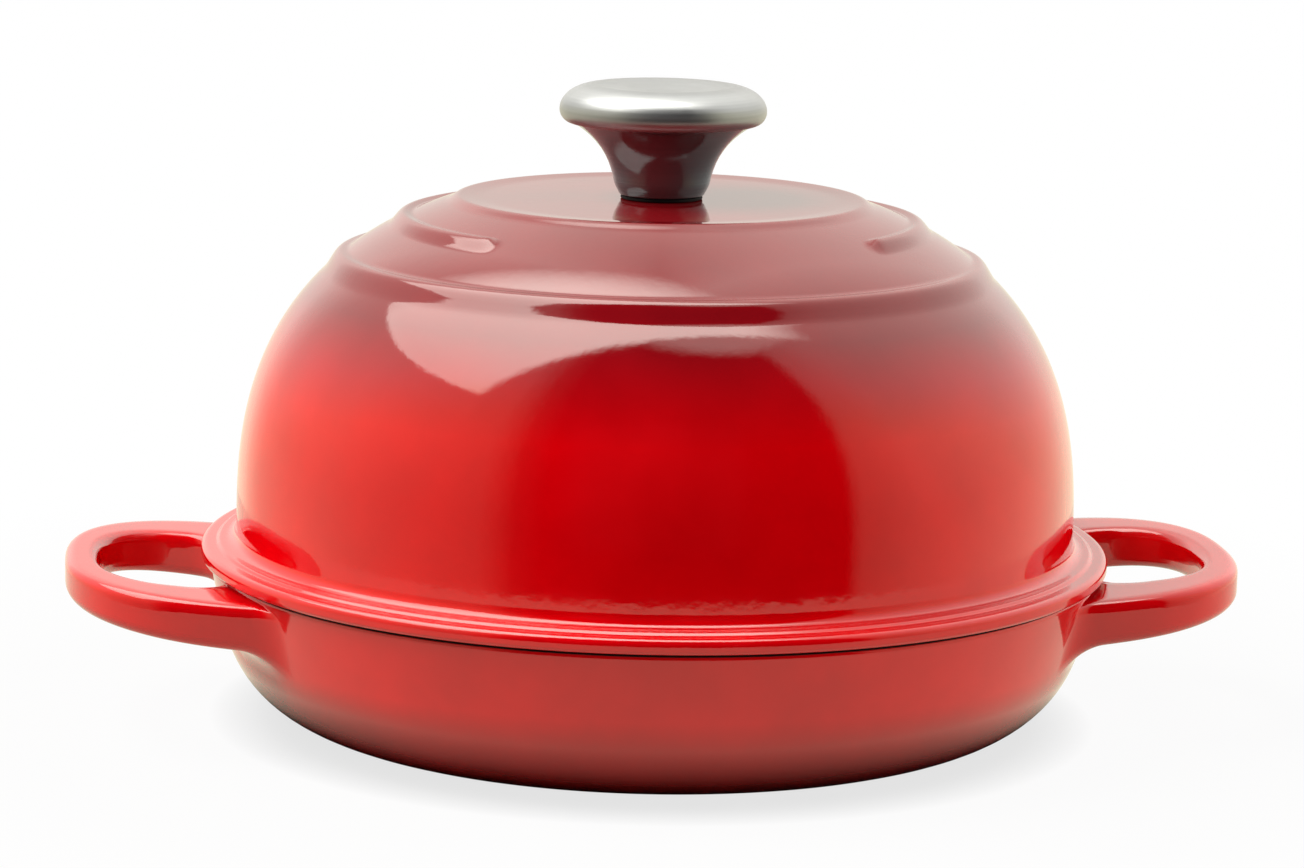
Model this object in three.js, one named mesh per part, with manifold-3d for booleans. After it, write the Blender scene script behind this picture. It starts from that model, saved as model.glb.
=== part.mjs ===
import * as THREE from 'three';
import { mergeVertices } from 'three/addons/utils/BufferGeometryUtils.js';
import Module from 'manifold-3d';

// A round bread oven of enamelled cast iron: a shallow pan with two loop handles, a high domed lid
// and a steel-capped knob screwed to the lid.
// Sizes are in millimetres and angles in degrees. The pan stands on z = 0, its axis is Z,
// its handles reach out along X, and the lid's bare front faces -Y.

// Pan
const panRimRadius = 122.8;
const panHeight = 44.2;
const panDraft = 12.5;
const panFootCorner = 32;
const panWall = 4.6;
const panFloor = 5;
const panRimEdge = 1.4;

// Raised rings on the pan's floor, which lift the loaf
const ridgeCount = 3;
const ridgePitch = 22;
const ridgeWidth = 7;
const ridgeCrestWidth = 2.4;
const ridgeHeight = 1.4;

// Loop handles, cast with the pan
const handleReach = 39.2;
const handleHalfWidth = 56.2;
const handlePower = 2.5;
const handleTipBar = 9.2;
const handleArmBar = 22;
const handleTipThickness = 10.4;
const handleRootThickness = 12.6;
const handleEdge = 2.8;
const handleDrop = 0.8;
const handleRise = 6.2;
const handleOuterFillet = 10;
const handleInnerFillet = 10;

// Lid: dome, flange that rests on the pan's rim, and a lip that centres it inside the rim
const lidSeatGap = 0.3;
const domeInset = 7.4;
const domeSpring = 10;
const domeRise = 95.3;
const domePower = 2.54;
const lidWall = 4.4;
const flangeOverhang = 2.2;
const flangeThickness = 4.2;
const flangeTopEdge = 1.8;
const flangeBottomEdge = 1.3;
const flangeBand = 4.6;
const flangeStep = 0.8;
const flangeFillet = 3;
const lipDepth = 4;
const lipClearance = 1;
const lipEdge = 1.2;

// Raised rings on the lid, the middle one left open at the front
const topRingRadius = 55.5;
const topRingWidth = 7;
const topRingHeight = 0.85;
const middleRingRadius = 71.1;
const outerRingRadius = 88.5;
const outerRingWidth = 7.6;
const outerRingHeight = 1.95;
const middleRingWidth = 7.6;
const middleRingHeight = 1.8;
const middleRingOpening = 94;
const discDrop = 0.43;
const discMargin = 6.5;
const discThickness = 4.9;

// Knob: a steel stem with a hexagonal threaded bush in it, under a pressed steel cap
const seatRingRadius = 11.2;
const seatRingThickness = 0.9;
const stemFootRadius = 10.9;
const stemFootEdge = 0.8;
const stemHeight = 19.6;
const stemAnkleRadius = 12.4;
const stemAnkleHeight = 3;
const stemWaistRadius = 13.8;
const stemWaistHeight = 13.7;
const capRadius = 28.3;
const capShoulderWidth = 9.5;
const capShoulderHeight = 6.8;
const capLipWidth = 3.3;
const capLipHeight = 3.6;
const capDish = 1.8;
const capSheet = 1.2;
const capFit = 0.3;
const bushAcrossCorners = 11.5;
const bushLength = 15;
const bushFit = 0.3;

// Screw from inside the lid with its washers, to the sizes of an M6 set
const screwDiameter = 6;
const screwLength = 24;
const screwHeadDiameter = 12;
const screwHeadHeight = 4.2;
const screwHeadEdge = 2;
const screwTipChamfer = 0.8;
const driveWidth = 1.4;
const driveLength = 6.4;
const driveDepth = 2.4;
const screwHoleClearance = 0.4;
const bushBoreClearance = 0.2;
const flatWasherDiameter = 18;
const flatWasherThickness = 1.6;
const springWasherDiameter = 11.8;
const springWasherThickness = 1.6;
const springWasherSplit = 14;
const washerBoreClearance = 0.25;
const faceGap = 0.1;

// Facets
const castingFacets = 60;
const knobFacets = 36;
const smallFacets = 24;
const arcTolerance = 0.12;
const domeSteps = 9;
const handleSteps = 11;
const handleEdgeSteps = 3;
const flareSteps = 7;
const capSteps = 5;
const capLipSteps = 3;
const widestArcStep = 90;
const leastStep = 1;
const cutMargin = 1;
const weldDistance = 1e-4;

// Share of a side or a bar that roundings on both its ends may take up
const roundingShare = 0.98;
const barRoundingShare = 0.9;

const wasm = await Module();
wasm.setup();

function radians(degrees) {
  return THREE.MathUtils.degToRad(degrees);
}

function point(r, z, fillet = 0) {
  return { r, z, fillet };
}

/** Number of straight steps that keep to an arc within the tolerance. */
function arcSteps(radius, turn) {
  const step = Math.min(2 * Math.acos(Math.max(0, 1 - arcTolerance / radius)), radians(widestArcStep));
  return Math.max(2, Math.ceil(Math.abs(turn) / step));
}

/** Joins corners by straight lines and rounds each with its fillet, as far as its neighbours leave room. */
function roundedOutline(corners, closed) {
  const count = corners.length;
  const reach = corners.map((corner, i) => {
    if (corner.fillet === 0) {
      return 0;
    }
    const { half } = cornerAngle(corners[(i + count - 1) % count], corner, corners[(i + 1) % count]);
    return corner.fillet / Math.tan(half);
  });
  const edges = closed ? count : count - 1;
  const scale = corners.map(() => 1);
  for (let i = 0; i < edges; i += 1) {
    const next = (i + 1) % count;
    const length = Math.hypot(corners[next].r - corners[i].r, corners[next].z - corners[i].z);
    const wanted = reach[i] + reach[next];
    if (wanted > length) {
      const share = roundingShare * length / wanted;
      scale[i] = Math.min(scale[i], share);
      scale[next] = Math.min(scale[next], share);
    }
  }
  const outline = [];
  corners.forEach((corner, i) => {
    const tangent = reach[i] * scale[i];
    if (tangent === 0) {
      outline.push(new THREE.Vector2(corner.r, corner.z));
      return;
    }
    const before = corners[(i + count - 1) % count];
    const after = corners[(i + 1) % count];
    outline.push(...cornerArc(before, corner, after, tangent));
  });
  if (closed) {
    outline.push(outline[0].clone());
  }
  return outline;
}

function cornerAngle(before, corner, after) {
  const incoming = new THREE.Vector2(before.r - corner.r, before.z - corner.z).normalize();
  const outgoing = new THREE.Vector2(after.r - corner.r, after.z - corner.z).normalize();
  const half = Math.acos(THREE.MathUtils.clamp(incoming.dot(outgoing), -1, 1)) / 2;
  return { incoming, outgoing, half };
}

/** The arc that touches both sides of a corner at the given distance from it. */
function cornerArc(before, corner, after, tangent) {
  const { incoming, outgoing, half } = cornerAngle(before, corner, after);
  const radius = tangent * Math.tan(half);
  const inward = incoming.clone().add(outgoing).normalize();
  const centre = new THREE.Vector2(corner.r, corner.z).addScaledVector(inward, radius / Math.sin(half));
  const start = incoming.clone().multiplyScalar(tangent).add({ x: corner.r, y: corner.z }).sub(centre);
  const end = outgoing.clone().multiplyScalar(tangent).add({ x: corner.r, y: corner.z }).sub(centre);
  const turn = Math.atan2(start.x * end.y - start.y * end.x, start.dot(end));
  const steps = arcSteps(radius, turn);
  const arc = [];
  for (let i = 0; i <= steps; i += 1) {
    arc.push(start.clone().rotateAround(new THREE.Vector2(), turn * i / steps).add(centre));
  }
  return arc;
}

/** Turns an outline of radius and height about the Z axis. */
function revolved(outline, facets) {
  return new THREE.LatheGeometry(outline, facets).rotateX(Math.PI / 2);
}

function cylinder(radius, bottom, top, facets) {
  const geometry = new THREE.CylinderGeometry(radius, radius, top - bottom, facets);
  return geometry.rotateX(Math.PI / 2).translate(0, 0, (bottom + top) / 2);
}

function ring(inner, outer, bottom, top, facets) {
  const corners = [point(inner, bottom), point(outer, bottom), point(outer, top), point(inner, top)];
  return revolved(roundedOutline(corners, true), facets);
}

function solidOf(geometry) {
  const bare = new THREE.BufferGeometry();
  bare.setAttribute('position', geometry.getAttribute('position').clone());
  bare.setIndex(geometry.getIndex());
  const welded = mergeVertices(bare, weldDistance);
  const mesh = new wasm.Mesh({
    numProp: 3,
    vertProperties: new Float32Array(welded.getAttribute('position').array),
    triVerts: new Uint32Array(welded.getIndex().array),
  });
  mesh.merge();
  return new wasm.Manifold(mesh);
}

function geometryOf(solid) {
  const mesh = solid.getMesh();
  const geometry = new THREE.BufferGeometry();
  geometry.setAttribute('position', new THREE.BufferAttribute(mesh.vertProperties, 3));
  geometry.setIndex(new THREE.BufferAttribute(mesh.triVerts, 1));
  return geometry;
}

/** Points of a quarter superellipse, from its end on the first axis to its end on the second. */
function superellipse(first, second, power, steps) {
  const points = [];
  for (let i = 0; i <= steps; i += 1) {
    const angle = Math.PI / 2 * i / steps;
    points.push(new THREE.Vector2(
      first * Math.max(0, Math.cos(angle)) ** (2 / power),
      second * Math.max(0, Math.sin(angle)) ** (2 / power),
    ));
  }
  return points;
}

/** Height of a raised ring's rounded section at a distance from its crest. */
function ringHeight(distance, width, height) {
  const part = THREE.MathUtils.clamp(2 * distance / width, -1, 1);
  return height * Math.cos(part * Math.PI / 2) ** 2;
}

// Pan wall: straight, drafted outwards, its outside and inside parallel
const panWallRun = panWall / Math.cos(radians(panDraft));

function panOutsideAt(z) {
  return panRimRadius - (panHeight - z) * Math.tan(radians(panDraft));
}

function panInsideAt(z) {
  return panOutsideAt(z) - panWallRun;
}

function panFloorCorners() {
  const corners = [];
  for (let i = ridgeCount; i >= 1; i -= 1) {
    const crest = ridgePitch * i;
    corners.push(point(crest + ridgeWidth / 2, panFloor));
    corners.push(point(crest + ridgeCrestWidth / 2, panFloor + ridgeHeight));
    corners.push(point(crest - ridgeCrestWidth / 2, panFloor + ridgeHeight));
    corners.push(point(crest - ridgeWidth / 2, panFloor));
  }
  return corners;
}

function panInsideCorners() {
  return [
    point(panInsideAt(panFloor), panFloor, panFootCorner - panWall),
    ...panFloorCorners(),
    point(0, panFloor),
  ];
}

function panBody() {
  const corners = [
    point(0, 0),
    point(panOutsideAt(0), 0, panFootCorner),
    point(panRimRadius, panHeight, panRimEdge),
    point(panInsideAt(panHeight), panHeight, panRimEdge),
    ...panInsideCorners(),
  ];
  return solidOf(revolved(roundedOutline(corners, false), castingFacets));
}

function panHollow() {
  const top = panHeight + handleRootThickness;
  const inside = roundedOutline([point(panInsideAt(top), top), ...panInsideCorners()], false);
  return solidOf(revolved([...inside.reverse(), new THREE.Vector2(0, top)], castingFacets));
}

// Handle: a flat loop in plan with rounded edges, rising outwards from the pan's wall
const handleTip = panRimRadius + handleReach;
const handleMiddle = panHeight - handleDrop - handleRootThickness / 2;
const handleWallRadius = panOutsideAt(handleMiddle);
const handleSink = handleEdge + panWall;

/** Side of the loop from its tip to the pan's wall, with a fillet where it meets the wall. */
function handleSide(tip, halfWidth, fillet, outward) {
  const filletSide = halfWidth + outward * fillet;
  const filletReach = Math.sqrt((handleWallRadius + fillet) ** 2 - filletSide ** 2);
  const side = superellipse(tip - filletReach, halfWidth, handlePower, handleSteps);
  side.forEach((p) => p.setX(p.x + filletReach));
  const centre = new THREE.Vector2(filletReach, filletSide);
  const start = new THREE.Vector2(0, -outward * fillet);
  const toAxis = Math.atan2(-filletSide, -filletReach);
  const turn = Math.atan2(Math.sin(toAxis - start.angle()), Math.cos(toAxis - start.angle()));
  const steps = arcSteps(fillet, turn);
  for (let i = 1; i <= steps; i += 1) {
    side.push(start.clone().rotateAround(new THREE.Vector2(), turn * i / steps).add(centre));
  }
  const end = side[side.length - 1];
  side.push(end.clone().setLength(handleWallRadius - handleSink));
  return side;
}

/** The loop's outline in plan: outside and inside of one arm, then the same arm mirrored. */
function handlePlan() {
  const outside = handleSide(handleTip, handleHalfWidth, handleOuterFillet, 1);
  const inside = handleSide(handleTip - handleTipBar, handleHalfWidth - handleArmBar, handleInnerFillet, -1);
  const arm = [...outside, ...inside.reverse()];
  const otherArm = arm.slice(1, -1).reverse().map((p) => new THREE.Vector2(p.x, -p.y));
  return [...arm, ...otherArm];
}

/** Raises the flat loop to its place, thicker towards the wall and sloping up outwards. */
function raiseHandle(geometry) {
  const position = geometry.getAttribute('position');
  const slope = Math.tan(radians(handleRise));
  const rootGrowth = handleRootThickness / handleTipThickness;
  for (let i = 0; i < position.count; i += 1) {
    const out = position.getX(i) - handleWallRadius;
    const growth = THREE.MathUtils.mapLinear(out, 0, handleTip - handleWallRadius, rootGrowth, 1);
    position.setZ(i, handleMiddle + out * slope + position.getZ(i) * growth);
  }
}

function handle(turn) {
  const shape = new THREE.Shape(handlePlan());
  const edge = Math.min(handleEdge, barRoundingShare * Math.min(handleTipBar, handleTipThickness) / 2);
  const depth = handleTipThickness - 2 * edge;
  const geometry = new THREE.ExtrudeGeometry(shape, {
    depth,
    bevelSize: edge,
    bevelOffset: -edge,
    bevelThickness: edge,
    bevelSegments: handleEdgeSteps,
  });
  geometry.translate(0, 0, -depth / 2);
  raiseHandle(geometry);
  geometry.rotateZ(turn);
  return solidOf(mergeVertices(geometry.deleteAttribute('normal').deleteAttribute('uv')));
}

function pan() {
  const hollow = panHollow();
  const right = handle(0).subtract(hollow);
  const left = handle(Math.PI).subtract(hollow);
  return geometryOf(panBody().add(right).add(left));
}

// Lid
const lidSeat = panHeight + lidSeatGap;
const domeRadius = panRimRadius - domeInset;
const domeBase = lidSeat + domeSpring;
const flangeRadius = panRimRadius + flangeOverhang;
const flangeTop = lidSeat + flangeThickness;
const lipBottom = lidSeat - lipDepth;
const lipRadius = panInsideAt(lipBottom) - lipClearance;
const domeInsideRadius = domeRadius - lidWall;
const discRadius = topRingRadius - discMargin;

function domeHeightAt(r) {
  return domeBase + domeRise * Math.max(0, 1 - (r / domeRadius) ** domePower) ** (1 / domePower);
}

const discTop = domeHeightAt(topRingRadius) + topRingHeight - discDrop;
const discBottom = discTop - discThickness;
const screwRadius = screwDiameter / 2;
const screwHole = screwRadius + screwHoleClearance;

function plainCorner(r) {
  return point(r, domeHeightAt(r));
}

function ringedCorners(crest, width, height) {
  return [1, 0.5, 0, -0.5, -1].map((part) => {
    const r = crest + part * width / 2;
    return point(r, domeHeightAt(r) + ringHeight(r - crest, width, height));
  });
}

function domeOutsideCorners() {
  const wall = superellipse(domeRadius, domeRise, domePower, 2 * domeSteps);
  const outerFoot = outerRingRadius + outerRingWidth / 2;
  const shoulder = wall.filter((p) => p.x > outerFoot + leastStep).map((p) => point(p.x, domeBase + p.y));
  return [
    ...shoulder,
    ...ringedCorners(outerRingRadius, outerRingWidth, outerRingHeight),
    plainCorner((outerRingRadius + middleRingRadius) / 2),
    ...ringedCorners(middleRingRadius, middleRingWidth, middleRingHeight),
    plainCorner((middleRingRadius + topRingRadius) / 2),
    ...ringedCorners(topRingRadius, topRingWidth, topRingHeight).slice(0, 3),
    point(discRadius, discTop),
  ];
}

function domeInsideCorners() {
  const wall = superellipse(domeInsideRadius, domeRise - lidWall, domePower, domeSteps).reverse();
  const below = wall.filter((p) => domeBase + p.y < discBottom - leastStep);
  const level = Math.min(1, (discBottom - domeBase) / (domeRise - lidWall));
  const padRadius = domeInsideRadius * (1 - level ** domePower) ** (1 / domePower);
  return [point(padRadius, discBottom), ...below.map((p) => point(p.x, domeBase + p.y))];
}

/** Takes the middle ring off the front of the lid, where it is left open. */
function openMiddleRing(geometry) {
  const position = geometry.getAttribute('position');
  const opening = radians(middleRingOpening) / 2;
  for (let i = 0; i < position.count; i += 1) {
    const r = Math.hypot(position.getX(i), position.getY(i));
    const fromFront = Math.abs(Math.atan2(position.getX(i), -position.getY(i)));
    const height = ringHeight(r - middleRingRadius, middleRingWidth, middleRingHeight);
    if (fromFront < opening && position.getZ(i) > domeHeightAt(r) - lidWall / 2) {
      position.setZ(i, position.getZ(i) - height);
    }
  }
  return geometry;
}

function lid() {
  const corners = [
    point(screwHole, discBottom),
    ...domeInsideCorners(),
    point(domeInsideRadius, lipBottom, lipEdge),
    point(lipRadius, lipBottom, lipEdge),
    point(lipRadius, lidSeat),
    point(flangeRadius, lidSeat, flangeBottomEdge),
    point(flangeRadius, flangeTop, flangeTopEdge),
    point(flangeRadius - flangeBand, flangeTop),
    point(flangeRadius - flangeBand, flangeTop + flangeStep),
    point(domeRadius, flangeTop + flangeStep, flangeFillet),
    ...domeOutsideCorners(),
    point(screwHole, discTop),
  ];
  return openMiddleRing(revolved(roundedOutline(corners, true), castingFacets));
}

// Knob
const seatRingBottom = discTop + faceGap;
const seatRingTop = seatRingBottom + seatRingThickness;
const stemFoot = seatRingTop + faceGap;
const stemTop = stemFoot + stemHeight;
const capLip = capRadius - capLipWidth;
const capShoulder = capRadius - capShoulderWidth;
const capWidest = stemTop + capLipHeight;
const capCrest = capWidest + capShoulderHeight;
const bushBore = screwRadius + bushBoreClearance;

/** Half of the cap's section, drawn in from its outside by the given distance, from its crest to its lip. */
function capSide(inset) {
  const above = superellipse(capShoulderWidth - inset, capShoulderHeight - inset, 2, capSteps).reverse();
  const below = superellipse(capLipWidth - inset, capLipHeight - inset, 2, capLipSteps).slice(1);
  return [
    ...above.map((p) => point(capShoulder + p.x, capWidest + p.y)),
    ...below.map((p) => point(capLip + p.x, capWidest - p.y)),
  ];
}

/** The dished top, a shallow curve from the axis to the crest. */
function capDishCorners(inset) {
  return [0, 0.35, 0.7].map((part) => {
    const rise = Math.sin(part * Math.PI / 2) ** 2;
    return point(part * capShoulder, capCrest - capDish * (1 - rise) - inset);
  });
}

function knobCap() {
  const outside = [...capDishCorners(0), ...capSide(0)];
  const inside = [...capDishCorners(capSheet), ...capSide(capSheet)];
  const corners = [...inside, ...outside.reverse()];
  return revolved(roundedOutline(corners, false), knobFacets);
}

function knobStem() {
  const inset = capSheet + capFit;
  const neck = capLip - capFit;
  const flare = new THREE.QuadraticBezierCurve(
    new THREE.Vector2(stemAnkleRadius, stemFoot + stemAnkleHeight),
    new THREE.Vector2(stemWaistRadius, stemFoot + stemWaistHeight),
    new THREE.Vector2(neck, stemTop),
  );
  const head = [...capDishCorners(inset), ...capSide(inset)].reverse();
  const corners = [
    point(0, stemFoot),
    point(stemFootRadius, stemFoot, stemFootEdge),
    ...flare.getPoints(flareSteps).map((p) => point(p.x, p.y)),
    point(neck, head[0].z),
    ...head.slice(1),
  ];
  const body = solidOf(revolved(roundedOutline(corners, false), knobFacets));
  const socketTop = Math.max(bushTop, screwTip) + bushFit;
  const socket = cylinder(bushAcrossCorners / 2 + bushFit, stemFoot - cutMargin, socketTop, 6);
  return geometryOf(body.subtract(solidOf(socket)));
}

const bushBottom = stemFoot + faceGap;
const bushTop = bushBottom + bushLength;

function knobBush() {
  const body = solidOf(cylinder(bushAcrossCorners / 2, bushBottom, bushTop, 6));
  const bore = solidOf(cylinder(bushBore, bushBottom - cutMargin, bushTop + cutMargin, smallFacets));
  return geometryOf(body.subtract(bore));
}

function seatRing() {
  return ring(screwHole, seatRingRadius, seatRingBottom, seatRingTop, knobFacets);
}

// Screw and washers, stacked down from the flat inside of the lid
const washerBore = screwRadius + washerBoreClearance;
const flatWasherTop = discBottom - faceGap;
const flatWasherBottom = flatWasherTop - flatWasherThickness;
const springWasherTop = flatWasherBottom - faceGap;
const springWasherBottom = springWasherTop - springWasherThickness;
const screwHeadTop = springWasherBottom - faceGap;
const screwHeadBottom = screwHeadTop - screwHeadHeight;
const screwTip = screwHeadTop + screwLength;

function flatWasher() {
  return ring(washerBore, flatWasherDiameter / 2, flatWasherBottom, flatWasherTop, smallFacets);
}

function springWasher() {
  const split = radians(springWasherSplit);
  const shape = new THREE.Shape();
  shape.absarc(0, 0, springWasherDiameter / 2, split, 2 * Math.PI, false);
  shape.absarc(0, 0, washerBore, 2 * Math.PI, split, true);
  const geometry = new THREE.ExtrudeGeometry(shape, {
    depth: springWasherThickness,
    bevelEnabled: false,
    curveSegments: smallFacets / 2,
  });
  return geometry.translate(0, 0, springWasherBottom);
}

function screw() {
  const corners = [
    point(0, screwHeadBottom),
    point(screwHeadDiameter / 2, screwHeadBottom, screwHeadEdge),
    point(screwHeadDiameter / 2, screwHeadTop),
    point(screwRadius, screwHeadTop),
    point(screwRadius, screwTip - screwTipChamfer),
    point(screwRadius - screwTipChamfer, screwTip),
    point(0, screwTip),
  ];
  const body = solidOf(revolved(roundedOutline(corners, false), smallFacets));
  const slotTop = screwHeadBottom + driveDepth;
  const along = new THREE.BoxGeometry(driveLength, driveWidth, 2 * driveDepth);
  const across = new THREE.BoxGeometry(driveWidth, driveLength, 2 * driveDepth);
  const slots = [along, across].map((slot) => solidOf(slot.translate(0, 0, slotTop - driveDepth)));
  return geometryOf(body.subtract(slots[0]).subtract(slots[1]));
}

const enamel = new THREE.MeshStandardMaterial({ color: '#b8101a', roughness: 0.15, metalness: 0 });
const steel = new THREE.MeshStandardMaterial({ color: '#b9b7b2', roughness: 0.35, metalness: 1 });
const polishedSteel = new THREE.MeshStandardMaterial({ color: '#a39d9a', roughness: 0.15, metalness: 1 });
const silicone = new THREE.MeshStandardMaterial({ color: '#141414', roughness: 0.8, metalness: 0 });

const pieces = [
  ['base_pan', pan(), enamel],
  ['dome_lid', lid(), enamel],
  ['knob_seat_ring', seatRing(), silicone],
  ['knob_stem', knobStem(), polishedSteel],
  ['knob_bush', knobBush(), steel],
  ['knob_cap', knobCap(), steel],
  ['flat_washer', flatWasher(), steel],
  ['spring_washer', springWasher(), steel],
  ['knob_screw', screw(), steel],
];

const oven = new THREE.Group();
oven.name = 'bread_oven';
pieces.forEach(([name, geometry, material]) => {
  geometry.computeVertexNormals();
  const mesh = new THREE.Mesh(geometry, material);
  mesh.name = name;
  oven.add(mesh);
});

export default oven;
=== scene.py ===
"""Bread oven of enamelled cast iron: fine surfaces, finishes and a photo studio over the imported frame.

Lengths are metres in the frame's own axes: +Z up the oven's axis, +X along its handles, -Y to its front.
"""

import math
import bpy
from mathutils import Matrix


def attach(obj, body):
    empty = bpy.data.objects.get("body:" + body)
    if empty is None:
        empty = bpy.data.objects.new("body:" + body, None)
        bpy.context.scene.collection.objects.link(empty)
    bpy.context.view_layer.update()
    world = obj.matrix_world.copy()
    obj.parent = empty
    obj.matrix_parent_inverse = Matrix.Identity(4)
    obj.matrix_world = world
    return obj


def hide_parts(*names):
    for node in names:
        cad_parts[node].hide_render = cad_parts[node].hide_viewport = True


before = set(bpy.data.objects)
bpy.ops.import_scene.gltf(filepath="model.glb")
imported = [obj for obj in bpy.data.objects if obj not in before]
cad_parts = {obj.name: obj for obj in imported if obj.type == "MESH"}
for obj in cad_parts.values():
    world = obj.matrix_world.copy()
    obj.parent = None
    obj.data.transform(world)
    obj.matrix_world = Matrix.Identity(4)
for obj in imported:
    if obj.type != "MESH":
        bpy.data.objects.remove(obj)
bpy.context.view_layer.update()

from types import SimpleNamespace

import bpy
import numpy as np
from bpy.props import FloatProperty, FloatVectorProperty, PointerProperty
from mathutils import Matrix, Vector

bl_info = {
    "name": "Bread Oven",
    "version": (1, 0, 0),
    "blender": (4, 5, 0),
    "location": "View3D > Sidebar > Bread Oven",
    "description": "Builds the enamelled castings, the knob and the studio of a bread oven",
    "category": "Add Mesh",
}

MM = 0.001

# Camera: photograph's width in pixels, sensor's in millimetres, nearest and farthest sight in metres
IMAGE_WIDTH = 1304
SENSOR = 36.0
CLIP = (0.05, 20.0)

# Low rings on the pan's floor
RIDGES = 3

# Superellipses: powers of the dome's section and of the handles' plan
DOME_POWER = 2.54
LOOP_POWER = 2.5

# Profiles: turn between neighbouring points, longest step, and its growth away from a tight bend
BEND = math.radians(8)
LONGEST_STEP = 2.2 * MM
STEP_GROWTH = 0.5
TINY = 1e-9

# Points on curves before a profile is respaced, and where the stem's flare takes over from its ankle
ARC_STEP = math.radians(2)
LEAST_ARC_POINTS = 4
FINE_POINTS = 4000
DOME_POINTS = 1100
HOLLOW_POINTS = 500
DOME_CROWDING = 1.2
CAP_POINTS = 90
FLARE_POINTS = 160
FLARE_START = 14

# Points around the turned pieces, and along the screw
CASTING_COLUMNS = 288
KNOB_COLUMNS = 144
FIXING_COLUMNS = 96
SCREW_ROWS = 260

# Handle roots: reach of the fine rows and of the blend into the wall, then the skin along the wall, how
# deep its end dips into the wall, and how far its top creeps up as a share of its length
ROOT_REACH = 14 * MM
BLEND_REACH = 26 * MM
SKIN_LENGTH = 3 * MM
SKIN_DIP = 0.03 * MM
SKIN_CREEP = 0.1

# Handles: points along an edge, rows along an arm, and columns round its section
LOOP_POINTS = 700
FILLET_POINTS = 400
SKIN_POINTS = 40
ARM_ROWS = 84
ROOT_ROWS = 30
SKIN_STEPS = SKIN_LENGTH * np.linspace(0, 1, 5)[1:]
EDGE_COLUMNS = 8
FLAT_COLUMNS = 8
SIDE_COLUMNS = 5

# Patterns: where most values of one noise lie, and of two noises added
NOISE_SPAN = (0.3, 0.7)
SUM_SPAN = (0.7, 1.3)

# Floor: points round its edge, and how far it lies under the pan
FLOOR_POINTS = 96
FLOOR_DROP = 0.05 * MM

# Room: brightness of its walls, by degrees from the camera's side and positive to the camera's right
WALL_LEVELS = (
    (-180, 0.75),
    (-154, 1.2),
    (-137, 0.88),
    (-100, 0.84),
    (-72, 0.58),
    (-48, 0.38),
    (-38, 0.06),
    (-30, 0.0),
    (53, 0.0),
    (57, 0.4),
    (74, 0.66),
    (100, 0.9),
    (152, 1.25),
    (180, 0.75),
)

# Ceiling light: sine of the height where it begins and where it is full
CEILING_EDGE = (0.935, 0.975)

# Softbox: sines of the heights of its foot and top, brightness at its foot as a share of that at its top,
# and the planes that cut it, each as a direction and where along it the cut begins and ends
SOFTBOX_HEIGHT = (0.65, 0.95)
SOFTBOX_FOOT = 0.66
SOFTBOX_CUTS = (
    ((0, 0.03, 1), 0.6, 0.62),
    ((-0.29, 0.93, 0.22), -0.055, 0.01),
    ((-0.6, -0.86, 0.33), -0.08, 0.27),
)


def linear(hex_colour):
    """sRGB hex to linear RGBA: the sRGB curve undone channel by channel."""
    srgb = np.array([int(hex_colour[i : i + 2], 16) for i in (1, 3, 5)]) / 255
    rgb = np.where(srgb <= 0.04045, srgb / 12.92, ((srgb + 0.055) / 1.055) ** 2.4)
    return (*rgb.tolist(), 1.0)


def length(name, description, millimetres):
    return FloatProperty(
        name=name,
        description=description,
        default=millimetres * MM,
        subtype="DISTANCE",
        unit="LENGTH",
        precision=5,
    )


def angle(name, description, degrees):
    return FloatProperty(
        name=name,
        description=description,
        default=math.radians(degrees),
        subtype="ANGLE",
        unit="ROTATION",
    )


def amount(name, description, value):
    return FloatProperty(name=name, description=description, default=value)


def colour(name, description, hex_colour):
    return FloatVectorProperty(
        name=name,
        description=description,
        default=linear(hex_colour),
        size=4,
        min=0.0,
        max=1.0,
        subtype="COLOR",
    )


class PanSizes(bpy.types.PropertyGroup):
    """Sizes of the pan's turned body"""

    rim_radius: length("Rim radius", "Outside of the rim", 122.8)
    height: length("Height", "From the underside to the rim", 44.2)
    draft: angle("Draft", "Outward lean of the wall", 12.5)
    foot_corner: length("Foot corner", "Radius between underside and wall", 32)
    wall: length("Wall", "Thickness of the wall", 4.6)
    floor: length("Floor", "Thickness of the floor", 5)
    rim_edge: length("Rim edge", "Rounding of the rim", 1.4)
    black_rim: length("Black rim", "Height of the black band under the rim", 0.75)
    ridge_pitch: length("Ridge pitch", "Spacing of the floor's rings", 22)
    ridge_width: length("Ridge width", "Foot width of a floor ring", 7)
    ridge_crest: length("Ridge crest", "Flat width on a floor ring", 2.4)
    ridge_height: length("Ridge height", "Height of a floor ring", 1.4)
    ridge_edge: length("Ridge edge", "Rounding of a floor ring", 1.6)


class HandleSizes(bpy.types.PropertyGroup):
    """Sizes of the loop handles"""

    reach: length("Reach", "From the rim to the tip of the loop", 39.2)
    half_width: length("Half width", "Half of the loop's width", 56.2)
    tip_bar: length("Tip bar", "Width of the bar at the tip", 9.2)
    arm_bar: length("Arm bar", "Width of the bar at the arms", 22)
    tip_thickness: length("Tip thickness", "Height of the bar at the tip", 10.4)
    root_thickness: length("Root thickness", "Height of the bar at the wall", 12.6)
    edge: length("Edge", "Rounding of the bar", 2.8)
    drop: length("Drop", "From the rim down to the bar's top at the wall", 0.8)
    rise: angle("Rise", "Upward slope of the loop", 6.2)
    outer_fillet: length("Outer fillet", "Where the loop's outside meets the wall", 10)
    inner_fillet: length("Inner fillet", "Where the loop's inside meets the wall", 10)
    under_fillet: length("Under fillet", "Where the underside meets the wall", 8)
    upper_fillet: length("Upper fillet", "Where the top meets the wall", 0.5)


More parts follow.
